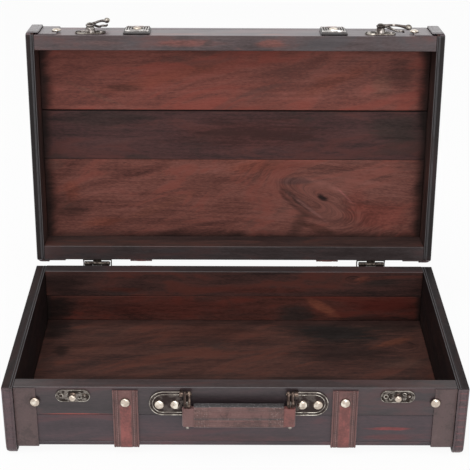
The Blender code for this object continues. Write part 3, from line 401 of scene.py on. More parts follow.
for side, label in sides:
    paint([f"{label}_tray_end_board"], stained_wood(
        f"{label}_tray_end_wood", "yzx", 31.9, black_outside, rims=((*tray_rim, black_edge, 0.04),), shine=1.0,
        rubbed=(*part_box(f"{label}_tray_end_board"), 0.15)))
    paint([f"{label}_tray_end_panel"], stained_wood(
        f"{label}_tray_panel_wood", "yzx", 37.1, tray_black, rims=((*tray_rim, black_edge, 0.04),),
        rubbed=(*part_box(f"{label}_tray_end_panel"), 0.9)))
    for part, near_x, far_x, tones, shine in (("board", 0.1952, 0.2, black_outside, 1.0),
                                              ("panel", 0.1926, 0.1949, lid_dark, 0.0)):
        low = Vector((min(side * near_x, side * far_x), lid_front, lid_rim))
        high = Vector((max(side * near_x, side * far_x), lid_front + case_depth, lid_rim + lid_height))
        paint([f"{label}_lid_end_{part}"], stained_wood(
            f"{label}_lid_end_{part}_wood", "yzx", 33.3, tones, in_lid=True,
            rims=((*lid_rim_levels, black_edge, 0.25),), rubbed=(low, high, 0.75), shine=shine))
# The outer face of the lid's front wall is coloured with painted sheen.
paint(["lid_front_wall"], stained_wood(
    "lid_front_wall_wood", "xzy", 41.3, lid_grey, levels=(lid_front + 0.009, lid_front + 0.006), in_lid=True,
    outside=painted_sheen_tones, rims=((*lid_rim_levels, pale_rim, 0.5),), face=lid_rim + lid_front + 0.011,
    patches=((-46, 0, 38, 4, 0, (190, 62, 50), 0.75), (33, 0, 15, 5, 0, (200, 66, 52), 0.75),
             (-126, 0, 24, 3, 0, (140, 66, 58), 0.4), (-26, 0, 7, 3, 20, (50, 36, 36), 0.8))))
paint(["lid_back_wall"], stained_wood(
    "lid_back_wall_wood", "xzy", 43.7, lid_dark, levels=(-0.009, -0.006), in_lid=True,
    rims=((*lid_rim_levels, smoky_rim, 0.5),)))
paint(["lid_front_plank"], stained_wood(
    "lid_front_plank_wood", "xyz", 47.9, lid_red, levels=plank_levels, face=top_z, in_lid=True, slant=-0.28,
    # A band of painted sheen along the plank's outer front edge.
    rims=(("y", lid_front + 0.0065, lid_front + 0.0045, painted_sheen_tones, 1.0),),
    patches=((105, -186, 100, 30, 0, (215, 86, 70), 0.45), (-74, -184, 85, 8, 13.4, orange, 0.55),
             (-140, -169, 32, 3, -24, (170, 85, 65), 0.35), (-110, -174.6, 20, 4, 0, (40, 22, 18), 0.5),
             (99, -183, 46, 9, 22.5, orange, 0.60), (145.6, -177.5, 12, 14, 0, (150, 75, 55), 0.45),
             (164, -188.6, 16, 20, 0, (45, 26, 22), 0.5), (48.4, -189.2, 8, 10, 0, (170, 75, 62), 0.4)),
    glaze_with_shade=(*lid_glaze_and_shade_box, 0.013)))
paint(["lid_middle_plank"], stained_wood(
    "lid_middle_plank_wood", "xyz", 53.3, lid_grey, levels=plank_levels, face=top_z, in_lid=True,
    # A near-black band at the plank's front edge: a painted shadow line under the front plank.
    rims=(("y", lid_front + 0.0862, lid_front + 0.0854, tray_black, 0.0),),
    patches=((15, -127, 90, 20, 0, (88, 32, 28), 0.6), (-125, -142, 50, 12, 0, (36, 26, 24), 0.6),
             (161, -132.6, 32, 18, 0, (32, 26, 23), 0.7)),
    # Dark glazing with painted shade near the lid's end walls.
    glaze_with_shade=((-0.1927, lid_front, -0.3), (0.1927, 0.0, 0.0308), 0.010)))
paint(["lid_back_plank"], stained_wood(
    "lid_back_plank_wood", "xyz", 59.9, lid_brown, levels=plank_levels, face=top_z, in_lid=True, slant=-0.32,
    rims=(("y", -0.0095, -0.0075, black_outside, 1.0),),
    knots=((85.7, -58.4, 47, 19, -23),),
    patches=((110, -62, 90, 50, 0, (205, 88, 72), 0.35), (-165.6, -68.2, 9, 13, 0, orange, 0.7),
             (-168, -48, 26, 12, 0, (44, 22, 18), 0.5), (-135, -33.7, 24, 6, 8, (205, 62, 41), 0.7),
             (-76, -51, 50, 6, 23, (175, 64, 45), 0.45), (124, -58.5, 13, 18, 0, (175, 46, 35), 0.5),
             (66, -31, 24, 9, 60, (40, 20, 16), 0.6), (155, -42.4, 30, 20, 0, (150, 44, 33), 0.4),
             (19.8, -94.8, 36, 8, 0, orange, 0.55), (144.7, -42, 34, 18, 0, (215, 56, 42), 0.55),
             (61.7, -78.1, 20, 5, 0, (58, 34, 33), 0.6), (67.3, -56.2, 30, 3.4, -38, (40, 22, 19), 0.8),
             (76.8, -49.2, 26, 2.2, -38, (250, 110, 96), 0.6), (113.2, -63.1, 13, 1.3, -45, (300, 105, 95), 0.8),
             (86.6, -27, 22, 5, -20, (50, 20, 14), 0.6), (89.7, -61.6, 7.4, 3.6, -30, (12, 8, 8), 0.95)),
    glaze_with_shade=(*lid_glaze_and_shade_box, 0.013)))


# Leather

@effect("hide_of_the_leather", "Place", "Height Mottle")
def hide_of(place):
    """Fine pebbles and creases of the hide, and the uneven tone that handling leaves."""
    cells = wire(place.tree, "TexVoronoi", {"Vector": place, "Scale": 900.0})["Distance"]
    return (cells * 0.6 + place.noise(240.0, 4.0, 0.6, 0.8) * 0.7,
            place.noise(70.0, 4.0, 0.6, 0.6) * 0.65 + place.noise(600.0, 2.0, 0.6) * 0.35)


@effect("row_of_marks", "Across Along Row Width Pitch Share", "Marks")
def row_of_marks(across, along, row, width, pitch, share):
    """A row of short marks, such as stitches or punched dots, beside the middle line of a strap."""
    from_middle = abs((along / pitch).maths('FRACT') - 0.5) * 2.0
    return [(abs(across - row) / width).between(0.35, 0.65, 1.0, 0.0) * (share - from_middle).between(-0.12, 0.12)]


def tooled_leather(name, tones, field=None, rows=(), bars=None, specks=None, painted_front_sheen=None, coat=0.15):
    """Leather with a smooth middle field, rows of marks along it, bars across it, specks and a painted sheen on its
    front.

    The piece's own map counts metres: across from the strap's middle line, then along it."""
    material, tree = start_material(name)
    place = wire(tree, "TexCoord")["Object"]
    side, along, _ = wire(tree, "UVMap", uv_map="along_the_strip")[0].parts()
    across = abs(side)
    height, mottle = hide_of(place)
    deep, middle, pale = tones_of(*tones)
    colour = mottle.between(0.36, 0.52).mingle(deep, middle)
    colour = mottle.between(0.54, 0.70, 0.0, 0.8).mingle(colour, pale)
    if field is not None:
        half_width, start, tone = field
        inside = across.between(half_width * mm - 0.0005, half_width * mm + 0.0003, 1.0, 0.0)
        inside = inside * along.between(start * mm - 0.0008, start * mm + 0.0008)
        smooth = mottle.between(0.38, 0.66).mingle(Vector(tone) * 0.0006, Vector(tone) * 0.00135)
        colour = (inside * 0.85).mingle(colour, smooth)
        height = height * (1.0 - inside * 0.7)
    for row, width, pitch, share, depth, tone in rows:
        dots = row_of_marks(across, along, row * mm, width * mm, pitch * mm, share)[0]
        colour = (dots * 0.75).mingle(colour, Vector(tone) / 1000)
        height = dots * depth + height
    if specks is not None:
        scale, tone = specks
        dots = wire(tree, "TexVoronoi", {"Vector": place, "Scale": scale})["Distance"].between(0.16, 0.34, 0.75, 0.0)
        colour = dots.mingle(colour, Vector(tone) / 1000)
        height = dots * 0.8 + height
    if bars is not None:
        pitch, half_width, depth, tone, strength = bars
        stripe = abs((along / (pitch * mm)).maths('FRACT') - 0.5).between(0.06, 0.13, 1.0, 0.0)
        stripe = stripe * across.between(half_width * mm - 0.0004, half_width * mm + 0.0004, 1.0, 0.0)
        colour = (stripe * strength).mingle(colour, Vector(tone) / 1000)
        height = stripe * depth + height
    # A pale painted sheen on the strip's front end, standing for its grazing reflection.
    if painted_front_sheen is not None:
        reach, tone = painted_front_sheen
        share = along.between(reach * mm, reach * mm + 0.006, 1.0, 0.0) * mottle.between(0.36, 0.60, 0.45, 1.0)
        colour = share.mingle(colour, Vector(tone) / 1000)
    rub = place.noise(130.0, 5.0, 0.7).between(0.58, 0.75, 0.0, 0.35)
    return finish_material(material, rub.mingle(colour, Vector(pale) * 1.5), mottle.between(0.3, 0.7, 0.42, 0.66),
                           (0.6, 0.0003, height), Coat_Weight=coat, Coat_Roughness=0.4, Sheen_Weight=0.25,
                           Sheen_Roughness=0.4)


band_tones = (46, 26, 29, 92, 56, 62, 145, 100, 108)
wrap_tones = (54, 29, 28, 92, 53, 52, 128, 80, 77)
tooling = (45, 21, 20)
band_row = (3.8, 0.6, 1.4, 0.55, -0.8, tooling)
band_leather = {
    "left_tray": tooled_leather("left_band_leather", band_tones, rows=(band_row,),
                                bars=(6.8, 3.4, -0.6, (140, 62, 66), 0.25)),
    "right_tray": tooled_leather("right_band_leather", band_tones, rows=(band_row,),
                                 bars=(6.8, 3.4, -1.2, (170, 60, 64), 0.65))}
# A pale grey painted sheen lies on the lid's front edge, standing for its grazing reflection.
band_leather["left_lid"] = band_leather["right_lid"] = tooled_leather(
    "lid_band_leather", band_tones, painted_front_sheen=(30, (300, 285, 292)))
wrap_leather = {"tray": tooled_leather("end_wrap_leather", wrap_tones, coat=0.3),
                # The lid's wraps carry the same painted sheen on their front.
                "lid": tooled_leather("lid_wrap_leather", wrap_tones, painted_front_sheen=(36, (155, 130, 140)), coat=0.6)}
strap_leather = tooled_leather(
    "strap_leather", (80, 34, 31, 150, 64, 58, 225, 115, 105), field=(4.8, 17.5, (235, 64, 56)),
    rows=((7.8, 0.8, 1.6, 0.6, -1.0, tooling), (6.2, 0.5, 1.2, 1.3, -0.9, tooling),
          (9.3, 0.5, 1.2, 1.3, -0.7, tooling), (7.0, 0.5, 1.9, 0.5, 0.6, (300, 190, 175))))
# Near-black leather for the pads under the buckles: painted shade on the straps' ends.
painted_shade_pad_leather = tooled_leather("buckle_pad_painted_shade_leather", (10, 7, 7, 18, 11, 10, 36, 20, 18), coat=0.05)
grip_looks = [
    tooled_leather("grip_leather", (75, 30, 26, 148, 68, 62, 240, 138, 128),
                   rows=((5.0, 0.6, 1.3, 0.6, -0.7, tooling),)),
    tooled_leather("left_grip_fold_leather", (100, 42, 38, 165, 78, 72, 260, 160, 150)),
    tooled_leather("grip_cuff_leather", (70, 30, 26, 130, 62, 55, 200, 110, 98), specks=(560.0, (330, 225, 205)),
                   bars=(2.1, 9.5, 1.0, (60, 30, 28), 0.5)),
    tooled_leather("waxed_thread", (140, 95, 86, 220, 155, 142, 300, 225, 205)),
    tooled_leather("grip_top_leather", (18, 14, 15, 36, 31, 32, 70, 62, 64), specks=(620.0, (260, 240, 240))),
    tooled_leather("right_grip_fold_leather", (110, 38, 33, 200, 66, 58, 280, 120, 108))]


# Working a mesh into a piece

def of_kind(geometry, kind):
    return [part for part in geometry if isinstance(part, kind)]


def extrude_ring(work, ring):
    """Extrude a ring of edges; returns the new ring and its corners."""
    grown = bmesh.ops.extrude_edge_only(work, edges=ring)["geom"]
    fresh = of_kind(grown, BMVert)
    return [edge for edge in of_kind(grown, BMEdge) if set(edge.verts) <= set(fresh)], fresh


def draw_on(work, ring, move, steps=1):
    """Extrude a ring of edges along a move, in steps."""
    for _ in range(steps):
        ring, fresh = extrude_ring(work, ring)
        bmesh.ops.translate(work, vec=Vector(move) / steps, verts=fresh)
    return ring


def bend_on(work, ring, centre, angle, steps):
    """Carry a ring of edges round a corner whose axis runs along X."""
    knots = list({knot for edge in ring for knot in edge.verts})
    return of_kind(bmesh.ops.spin(work, geom=ring + knots, cent=centre, axis=(1, 0, 0), angle=angle,
                                  steps=steps)["geom_last"], BMEdge)


def closed_ring(work, points):
    knots = [work.verts.new(point) for point in points]
    return [work.edges.new(pair) for pair in zip(knots, knots[1:] + knots[:1])]


def weld(work, reach=0.00001):
    """Join what touches and turn every face outwards."""
    bmesh.ops.remove_doubles(work, verts=work.verts, dist=reach)
    bmesh.ops.recalc_face_normals(work, faces=work.faces)


def close_ends(work):
    bmesh.ops.holes_fill(work, edges=[edge for edge in work.edges if edge.is_boundary], sides=0)
    weld(work)


def map_along(work, across, along):
    """Map each place by how far it is across a strap and along it, in metres."""
    layer = work.loops.layers.uv.new("along_the_strip")
    for face in work.faces:
        for loop in face.loops:
            loop[layer].uv = (across(loop.vert.co), along(loop.vert.co))


def mesh_of(name, work):
    mesh = bpy.data.meshes.new(name)
    work.to_mesh(mesh)
    work.free()
    return mesh


def stand_in_scene(name, data):
    thing = bpy.data.objects.new(name, data)
    bpy.context.scene.collection.objects.link(thing)
    return thing


def finish_piece(name, work, looks, body, node, sharp):
    """Turn a mesh, already in its place, into a piece that rides on a body and stands for a CAD node."""
    bmesh.ops.recalc_face_normals(work, faces=work.faces)
    mesh = mesh_of(name, work)
    mesh.shade_smooth()
    mesh.set_sharp_from_angle(angle=radians(sharp))
    for material in looks:
        mesh.materials.append(material)
    piece = stand_in_scene(name, mesh)
    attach(piece, body)
    if node:
        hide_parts(node)
    return piece


# Strips of leather that run down the front, under or over the case, and up the back

edge_reach, edge_rise = 0.0062, 0.0104


def strip_section(width, thickness, roll, face):
    """A strip's section in mm: square inside, rolled edges, and half a face by places across it and their depths."""
    half = width / 2
    left = [(-half, thickness), (-half, roll), (-half + 0.3 * roll, 0.3 * roll), *face]
    return left + [(-across, depth) for across, depth in reversed(left) if across]


def band_section(width):
    """A crowned band with a pressed groove near each side, and corners close together where it turns."""
    half = width / 2
    face = [(-half + 0.6 * step, 0) for step in (1, 2, 3)]
    face += [(-0.55 * half - 0.4, 0), (-0.55 * half, 0.3), (-0.55 * half + 0.4, 0), (-0.25 * half, 0), (0, 0)]
    return strip_section(width, band_t / mm, 0.6, face)


def pull_round(first, second, reach, rise, limit=1.0):
    """Two distances from a square corner, moved in onto the ellipse that rounds it."""
    if first >= reach or second >= rise:
        return first, second
    across, down = 1 - first / reach, 1 - second / rise
    length = hypot(across, down)
    if length <= limit:
        return first, second
    return reach * (1 - across * limit / length), rise * (1 - down * limit / length)


def add_strip(name, node, owner, section, middle_x, proud, outer, corner, drops, look, front_r=None):
    """Sweep a section round the case, map it in metres, and stand it for its CAD node."""
    place, body = owner
    front_y, straight = proud + corner, outer - corner
    run, quarter = case_depth - 2 * front_y, corner * pi / 2
    work = bmesh.new()
    ring = closed_ring(work, [(middle_x + across * mm, proud + inward * mm, drops[0]) for across, inward in section])
    ring = draw_on(work, ring, (0, 0, straight - drops[0]), 14)
    ring = bend_on(work, ring, (0, front_y, straight), -pi / 2, 10)
    ring = draw_on(work, ring, (0, run, 0), 16)
    ring = bend_on(work, ring, (0, front_y + run, straight), -pi / 2, 10)
    draw_on(work, ring, (0, 0, drops[1] - straight), 14)
    close_ends(work)

    def along_path(knot):
        """How far a place is from the front rim, along the strip."""
        level, from_front = knot.z - straight, front_y - knot.y
        if level <= 0:
            return knot.z if from_front > 0 else 2 * (straight + quarter) + run - knot.z
        if from_front > 0:
            return straight + corner * atan2(level, from_front)
        if from_front < -run:
            return straight + 2 * quarter + run - corner * atan2(level, -from_front - run)
        return straight + quarter - from_front

    def is_under(knot):
        """Whether a place is on the strip's underside."""
        half_way = 0.6 * section[0][1] * mm
        if knot.z <= straight:
            return min(knot.y, case_depth - knot.y) - proud > half_way
        nearest = min(max(knot.y, front_y), front_y + run)
        return corner - hypot(knot.y - nearest, knot.z - straight) > half_way

    map_along(work, lambda knot: knot.x - middle_x, along_path)
    if front_r:
        back_r = 0.0043
        for knot in work.verts:
            x, y, z = knot.co
            aside, below = pull_round(half_length - abs(x), outer - z, edge_reach, edge_rise,
                                      0.86 if is_under(knot.co) else 1.0)
            aside, behind = pull_round(aside, y, front_r, front_r)
            aside, before = pull_round(aside, case_depth - y, back_r, back_r)
            knot.co = ((half_length - aside) * (1 if x > 0 else -1), behind if y < case_depth / 2 else
                       case_depth - before, outer - below)
    bmesh.ops.transform(work, matrix=place, verts=work.verts)
    finish_piece(name, work, [look], body, node, 50)


def add_strips(side, label):
    """Edge bands, end wraps and straps of the tray and the lid."""
    strap = strip_section(22, strap_t / mm, 0.6, [(-10.1, 0), (-9.6, 0), (-9.2, 0.45), (-8.8, 0.12), (-6, 0.18),
                                                  (-5.6, 0.45), (-5.2, 0.1), (-3, 0)])
    for kind, place, height, recess, width, drop, front_r in (
            ("tray", tray_place, tray_height, 0.008, 9.5, 0.0006, 0.0018),
            ("lid", lid_place, lid_height, 0.0035, 12, 0.0026, 0.0033)):
        part, owner, boards = f"{label}_{kind}", (place, kind), height - recess + piece_gap
        add_strip(f"{part}_band_leather", f"{part}_edge_band", owner, band_section(width),
                  side * (half_length - width / 2 * mm), 0.0, height, 0.008, (drop, 0.0035), band_leather[part],
                  front_r)
        low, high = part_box(f"{part}_end_wrap")
        width = (high.x - low.x) / mm
        wrap = strip_section(width, 1, 0.4, [(0.4 - width / 2, 0)])
        add_strip(f"{part}_wrap_leather", f"{part}_end_wrap", owner, wrap, (low.x + high.x) / 2, 0.0022,
                  boards + 0.001, 0.0025, (0.001, 0.001), wrap_leather[kind])
        add_strip(f"{part}_strap_leather", f"{part}_strap", owner, strap, side * strap_x, strap_t, boards + strap_t,
                  0.0025, (0.003, 0.001), strap_leather)


# Aged metal

@effect("age_of_the_metal", "Place Grain", "Rubbed Dark Height")
def age_of(place, grain):
    """Where a casting is polished by rubbing and painted with highlights, where it has gone dark, and its small pits.
    """
    broad, fine = place.noise(grain * 0.35, 4.0, 0.6), place.noise(grain, 4.0, 0.65)
    return broad.between(0.45, 0.60), fine.between(0.54, 0.68), fine * 0.3 + broad * 0.7


def aged_metal(name, dull, bright, dark_share=0.5, grain=500.0, roughness=(0.22, 0.48), pits=0.25):
    """Brass or bronze: dull and bright tones, the bright partly polish and partly painted reflection, dark tarnish in
    the pits, uneven polish.
    """
    material, tree = start_material(name)
    rubbed, dark, height = age_of(wire(tree, "TexCoord")["Object"], grain)
    # Bright where rubbing polished it, and as painted reflection, since the even surroundings give none.
    colour = rubbed.mingle(Vector(dull) / 1000, Vector(bright) / 1000)
    colour = (dark * dark_share).mingle(colour, (0.022, 0.015, 0.012))
    return finish_material(material, colour, height.between(0.35, 0.65, roughness[1], roughness[0]),
                           (pits, 0.0003, height), Metallic=1.0)


bead_brass = aged_metal("rim_bead_brass", (240, 210, 185), (660, 610, 540), 0.45, 420.0)
dome_brass = aged_metal("dome_nail_brass", (580, 490, 410), (920, 850, 740), 0.30, 330.0, (0.12, 0.30), 0.4)
plate_brass = aged_metal("dull_plate_brass", (110, 92, 80), (460, 420, 370), 0.55, 420.0, (0.2, 0.42), 0.4)
dark_field = aged_metal("sunk_plate_field", (48, 36, 34), (110, 92, 84), 0.5, 600.0, (0.40, 0.62), 0.5)
embossed_field = aged_metal("embossed_plate_field", (45, 36, 31), (250, 222, 200), 0.6, 700.0, (0.35, 0.55), 0.6)
dark_bronze = aged_metal("dark_bronze", (50, 35, 30), (170, 125, 100), 0.5, 480.0, (0.24, 0.42), 0.4)
hook_bronze = aged_metal("cast_hook_bronze", (80, 64, 58), (460, 420, 390), 0.6, 400.0, (0.18, 0.4), 0.45)
knob_brass = aged_metal("worn_knob_brass", (150, 128, 110), (520, 480, 420), 0.5, 330.0, (0.2, 0.4), 0.3)
buckle_pewter = aged_metal("buckle_pewter", (270, 255, 245), (680, 650, 620), 0.45, 380.0, (0.24, 0.45), 0.3)
hinge_bronze = aged_metal("hinge_bronze", (28, 22, 19), (85, 72, 60), 0.35, 900.0, (0.30, 0.50))


# Shapes of the metal pieces, in mm

def join_in(work, part, place=Matrix(), slot=None):
    """Set a finished part into a bigger work."""
    if slot is not None:
        for face in part.faces:
            face.material_index = slot
    bmesh.ops.recalc_face_normals(part, faces=part.faces)
    mesh = mesh_of("part", part)
    mesh.transform(place)
    work.from_mesh(mesh)
    bpy.data.meshes.remove(mesh)


def turned(profile, segments=32):
    """A turned solid about Z; the profile runs from its top centre to its bottom centre, or closes on itself."""
    work = bmesh.new()
    knots = [work.verts.new((radius * mm, 0, level * mm)) for radius, level in profile]
    edges = [work.edges.new(pair) for pair in zip(knots, knots[1:])]
    bmesh.ops.spin(work, geom=knots + edges, cent=(0, 0, 0), axis=(0, 0, 1), angle=2 * pi, steps=segments,
                   use_merge=True)
    weld(work, 0.000002)
    return work


def bar(points, radii, segments=12):
    """A round bar along a row of points, with its own radius at each."""
    work = bmesh.new()
    bmesh.ops.create_circle(work, cap_ends=False, segments=segments, radius=1.0)
    ring, fresh, last = list(work.edges), list(work.verts), Matrix()
    points = [Vector(point) * mm for point in points]
    for number, (point, radius) in enumerate(zip(points, radii)):
        heading = points[min(number + 1, len(points) - 1)] - points[max(number - 1, 0)]
        here = (Matrix.Translation(point) @ heading.to_track_quat('Z', 'Y').to_matrix().to_4x4()
                @ Matrix.Scale(radius * mm, 4))
        if number:
            ring, fresh = extrude_ring(work, ring)
        bmesh.ops.transform(work, matrix=here @ last.inverted(), verts=fresh)
        last = here
    close_ends(work)
    return work


def dome(radius, height, lip, segments=32):
    """A domed head on a short lip, closed underneath."""
    turns = [pi / 2 * step / 7 for step in range(8)]
    return turned([(radius * sin(t), lip + (height - lip) * cos(t)) for t in turns] + [(radius, 0), (0, 0)], segments)


def lay(part, angle=pi / 2):
    """Turn an upright part about Y."""
    bmesh.ops.rotate(part, matrix=Matrix.Rotation(angle, 3, 'Y'), verts=part.verts)
    return part


def loop_strand(middle_x):
    """One strand of a link: a rounded section led round its pin and round the rod's ball."""
    pin, pin_r, ball, ball_r = Vector((0, 0, 0)), 0.0025, Vector((0, -rod_back, -rod_drop)), 0.0032
    heading = atan2(ball.z, ball.y)
    spread = acos((pin_r - ball_r) / ball.length)

    def spot(centre, radius, angle):
        return centre + Vector((0, cos(angle), sin(angle))) * radius

    work = bmesh.new()
    bmesh.ops.create_circle(work, cap_ends=False, segments=12, radius=1.0)
    bmesh.ops.scale(work, vec=(0.0013, 0.0006, 1), verts=work.verts)
    # The section stands across the strand: its width along X and its thickness out from the pin.
    start, end = heading + spread, heading - spread
    place = Matrix.Translation(spot(pin, pin_r, start) + Vector((middle_x, 0, 0)))
    bmesh.ops.transform(work, matrix=place @ Matrix.Rotation(start, 4, 'X'), verts=work.verts)
    ring = bend_on(work, list(work.edges), pin, 2 * pi - 2 * spread, 12)
    ring = draw_on(work, ring, spot(ball, ball_r, end) - spot(pin, pin_r, end), 2)
    ring = bend_on(work, ring, ball, 2 * spread, 10)
    draw_on(work, ring, spot(pin, pin_r, start) - spot(ball, ball_r, start), 2)
    weld(work, 0.00003)
    return work


def sheet(width, height, cells=1):
    """A flat rectangle."""
    work = bmesh.new()
    bmesh.ops.create_grid(work, x_segments=cells, y_segments=cells, size=0.5)
    bmesh.ops.scale(work, vec=(width * mm, height * mm, 1), verts=work.verts)
    return work


def stadium(width, height, straight_end=False):
    """A plate's outline: a circle whose halves are moved apart, its left one pressed straight if asked."""
    radius = height / 2 * mm
    apart = width / 2 * mm - radius
    work = bmesh.new()
    bmesh.ops.create_circle(work, cap_ends=True, segments=50, radius=radius)
    for knot in work.verts:
        if knot.co.x > 0:
            knot.co.x += apart
        else:
            knot.co.x = -width / 2 * mm if straight_end else knot.co.x - apart
    return work


def raise_plate(work, thickness):
    """Give a flat outline its thickness; returns the upper face."""
    grown = bmesh.ops.extrude_face_region(work, geom=list(work.faces))["geom"]
    bmesh.ops.translate(work, vec=(0, 0, thickness * mm), verts=of_kind(grown, BMVert))
    bmesh.ops.recalc_face_normals(work, faces=work.faces)
    return of_kind(grown, BMFace)


def soften_rims(work):
    rims = [edge for edge in work.edges if edge.calc_face_angle(0) > 1.2]
    bmesh.ops.bevel(work, geom=rims, offset=0.0005, segments=2, affect='EDGES', profile=0.5, material=-1)


def step_in(work, faces, steps, slots):
    """Inset the upper face again and again, each time by a width and a rise; each new ring gets its finish."""
    for (width, rise), slot in zip(steps, slots):
        ring = bmesh.ops.inset_region(work, faces=faces, thickness=width * mm, depth=0.0,
                                      use_even_offset=True)["faces"]
        bmesh.ops.translate(work, vec=(0, 0, rise * mm), verts=list({knot for face in faces for knot in face.verts}))
        for face in ring:
            face.material_index = slot
    for face in faces:
        face.material_index = slots[-1]


# The finished metal pieces

front_face, lid_front_face = front_edge + 0.0035, lid_front + 0.0035
end_nail_x, nail_drop, lid_nail_rise = 0.172, 0.0142, 0.014
latch_x, keeper_drop, hook_rise = 0.1392, 0.0082, 0.011
handle_middle_x, handle_plate_drop, handle_nail_drop = 0.003, 0.0156, 0.0168
pin_out, pin_drop = 0.0040, 0.0045
rod_x, rod_back, rod_drop = 0.0442, 0.0033, 0.0069
handle_pin = Vector((handle_middle_x, front_face - pin_out, tray_height - pin_drop))


def on_front(x, drop, out=0.0003):
    """A place on the tray's front: its own Z points out of the wall and its own Y to the rim."""
    return Matrix.Translation((x, front_face - out, tray_height - drop)) @ Matrix.Rotation(pi / 2, 4, 'X')


def on_lid_front(x, level, out=0.0003):
    return lid_turn @ Matrix.Translation((x, lid_front_face - out, level)) @ Matrix.Rotation(pi / 2, 4, 'X')


def add_piece(name, node, body, place, looks, parts, sharp=35):
    """A piece made of parts, each with the number of its finish and perhaps a shift in mm."""
    work = bmesh.new()
    for part, finish, *shift in parts:
        join_in(work, part, place @ Matrix.Translation(Vector(shift or (0, 0, 0)) * mm), finish)
    finish_piece(name, work, looks, body, node, sharp)


def nail_head(finish, *shift):
    """A domed nail head over its own dark lip."""
    lip = turned([(0, 0.5), (4.2, 0.5), (4.5, 0.3), (4.5, 0), (0, 0)])
    return [(dome(4.2, 2.4, 0.6), finish, *shift), (lip, finish + 1, *shift)]


def add_nails(side, label):
    for part, place, body in (("tray_wrap", on_front(side * end_nail_x, nail_drop, 0.0016), "tray"),
                              ("tray_strap", on_front(side * strap_x, nail_drop, 0.0022), "tray"),
                              ("lid_wrap", on_lid_front(side * end_nail_x, lid_rim + lid_nail_rise, 0.0016), "lid")):
        shank = turned([(0, 0), (0.8, 0), (0.8, -4), (0, -4)], 12)
        add_piece(f"{label}_{part}_nail_dome", f"{label}_{part}_nail", body, place, [dome_brass, dark_bronze],
                  [*nail_head(0), (shank, 1)], 50)


def pierced_plate(height, nail_x):
    """A small cast plate: thin bright rim, embossed field, and a nail in a hole at each end, the right one ringed."""
    level = 0.6
    plate = stadium(29.6, height)
    step_in(plate, raise_plate(plate, level), [(0.15, 0.6), (0.4, 0), (0.25, -0.6), (0.6, 0)], [0, 0, 1, 1])
    parts = [(plate, None)]
    for end, hoop_finish, nail_finish in ((-1, 0, 2), (1, 2, 0)):
        spot = (end * nail_x, 0, 0)
        hoop = turned([(1.4, level), (1.5, 1.1), (2.0, 1.1), (2.2, level), (1.4, level)], 24)
        parts += [(hoop, hoop_finish, *spot), (dome(1.1, 1.2, level, 16), nail_finish, *spot)]
        for turn in (-1, 1):
            arc = [pi * step / 5 for step in range(-1, 8)]
            scroll = [(end * (5.7 + 1.5 * cos(t)), turn * (2.2 + 1.2 * sin(t)), level) for t in arc]
            parts.append((bar(scroll, [0.34 - 0.03 * step for step in range(9)], 6), 0))
    return parts


def add_keeper(side, label):
    post = turned([(1.5, 4.6), (1.5, 1.4), (2.2, 1.0), (3.0, 0.6), (3.0, 0)], 24)
    head = turned([(0, 6.4), (1.4, 6.3), (2.4, 5.9), (2.9, 5.2), (2.9, 4.7), (2.0, 4.5), (0, 4.5)], 28)
    add_piece(f"{label}_keeper_casting", f"{label}_keeper_plate", "tray", on_front(side * latch_x, keeper_drop),
              [bead_brass, embossed_field, dark_bronze, dome_brass],
              [*pierced_plate(11.8, 10.1), (post, 2), (head, 3)])


def add_hook_plate(side, label):
    place = on_lid_front(side * latch_x, hook_rise)
    bumps = [(dome(2.1, 2.2, 0.7, 20), 2, end * 10.6, 0, 0) for end in (-1, 1)]
    foot = turned([(3.4, 6.3), (4.0, 5.8), (4.0, 5.1), (4.6, 4.5), (4.6, 3.2), (5.0, 2.4), (5.2, 1.3), (5.2, 0)])
    add_piece(f"{label}_hook_plate_casting", f"{label}_hook_plate", "lid", place,
              [plate_brass, embossed_field, hook_bronze], [*pierced_plate(12.0, 10.6), *bumps, (foot, 2)])
    rivet = turned([(0, 10), (1.3, 9.8), (2.6, 9.4), (3.2, 8.9), (1.5, 8.8), (1.5, 1), (0, 1)], 24)
    add_piece(f"{label}_hook_rivet_head", f"{label}_hook_rivet", "lid", place, [plate_brass], [(rivet, 0)], 40)


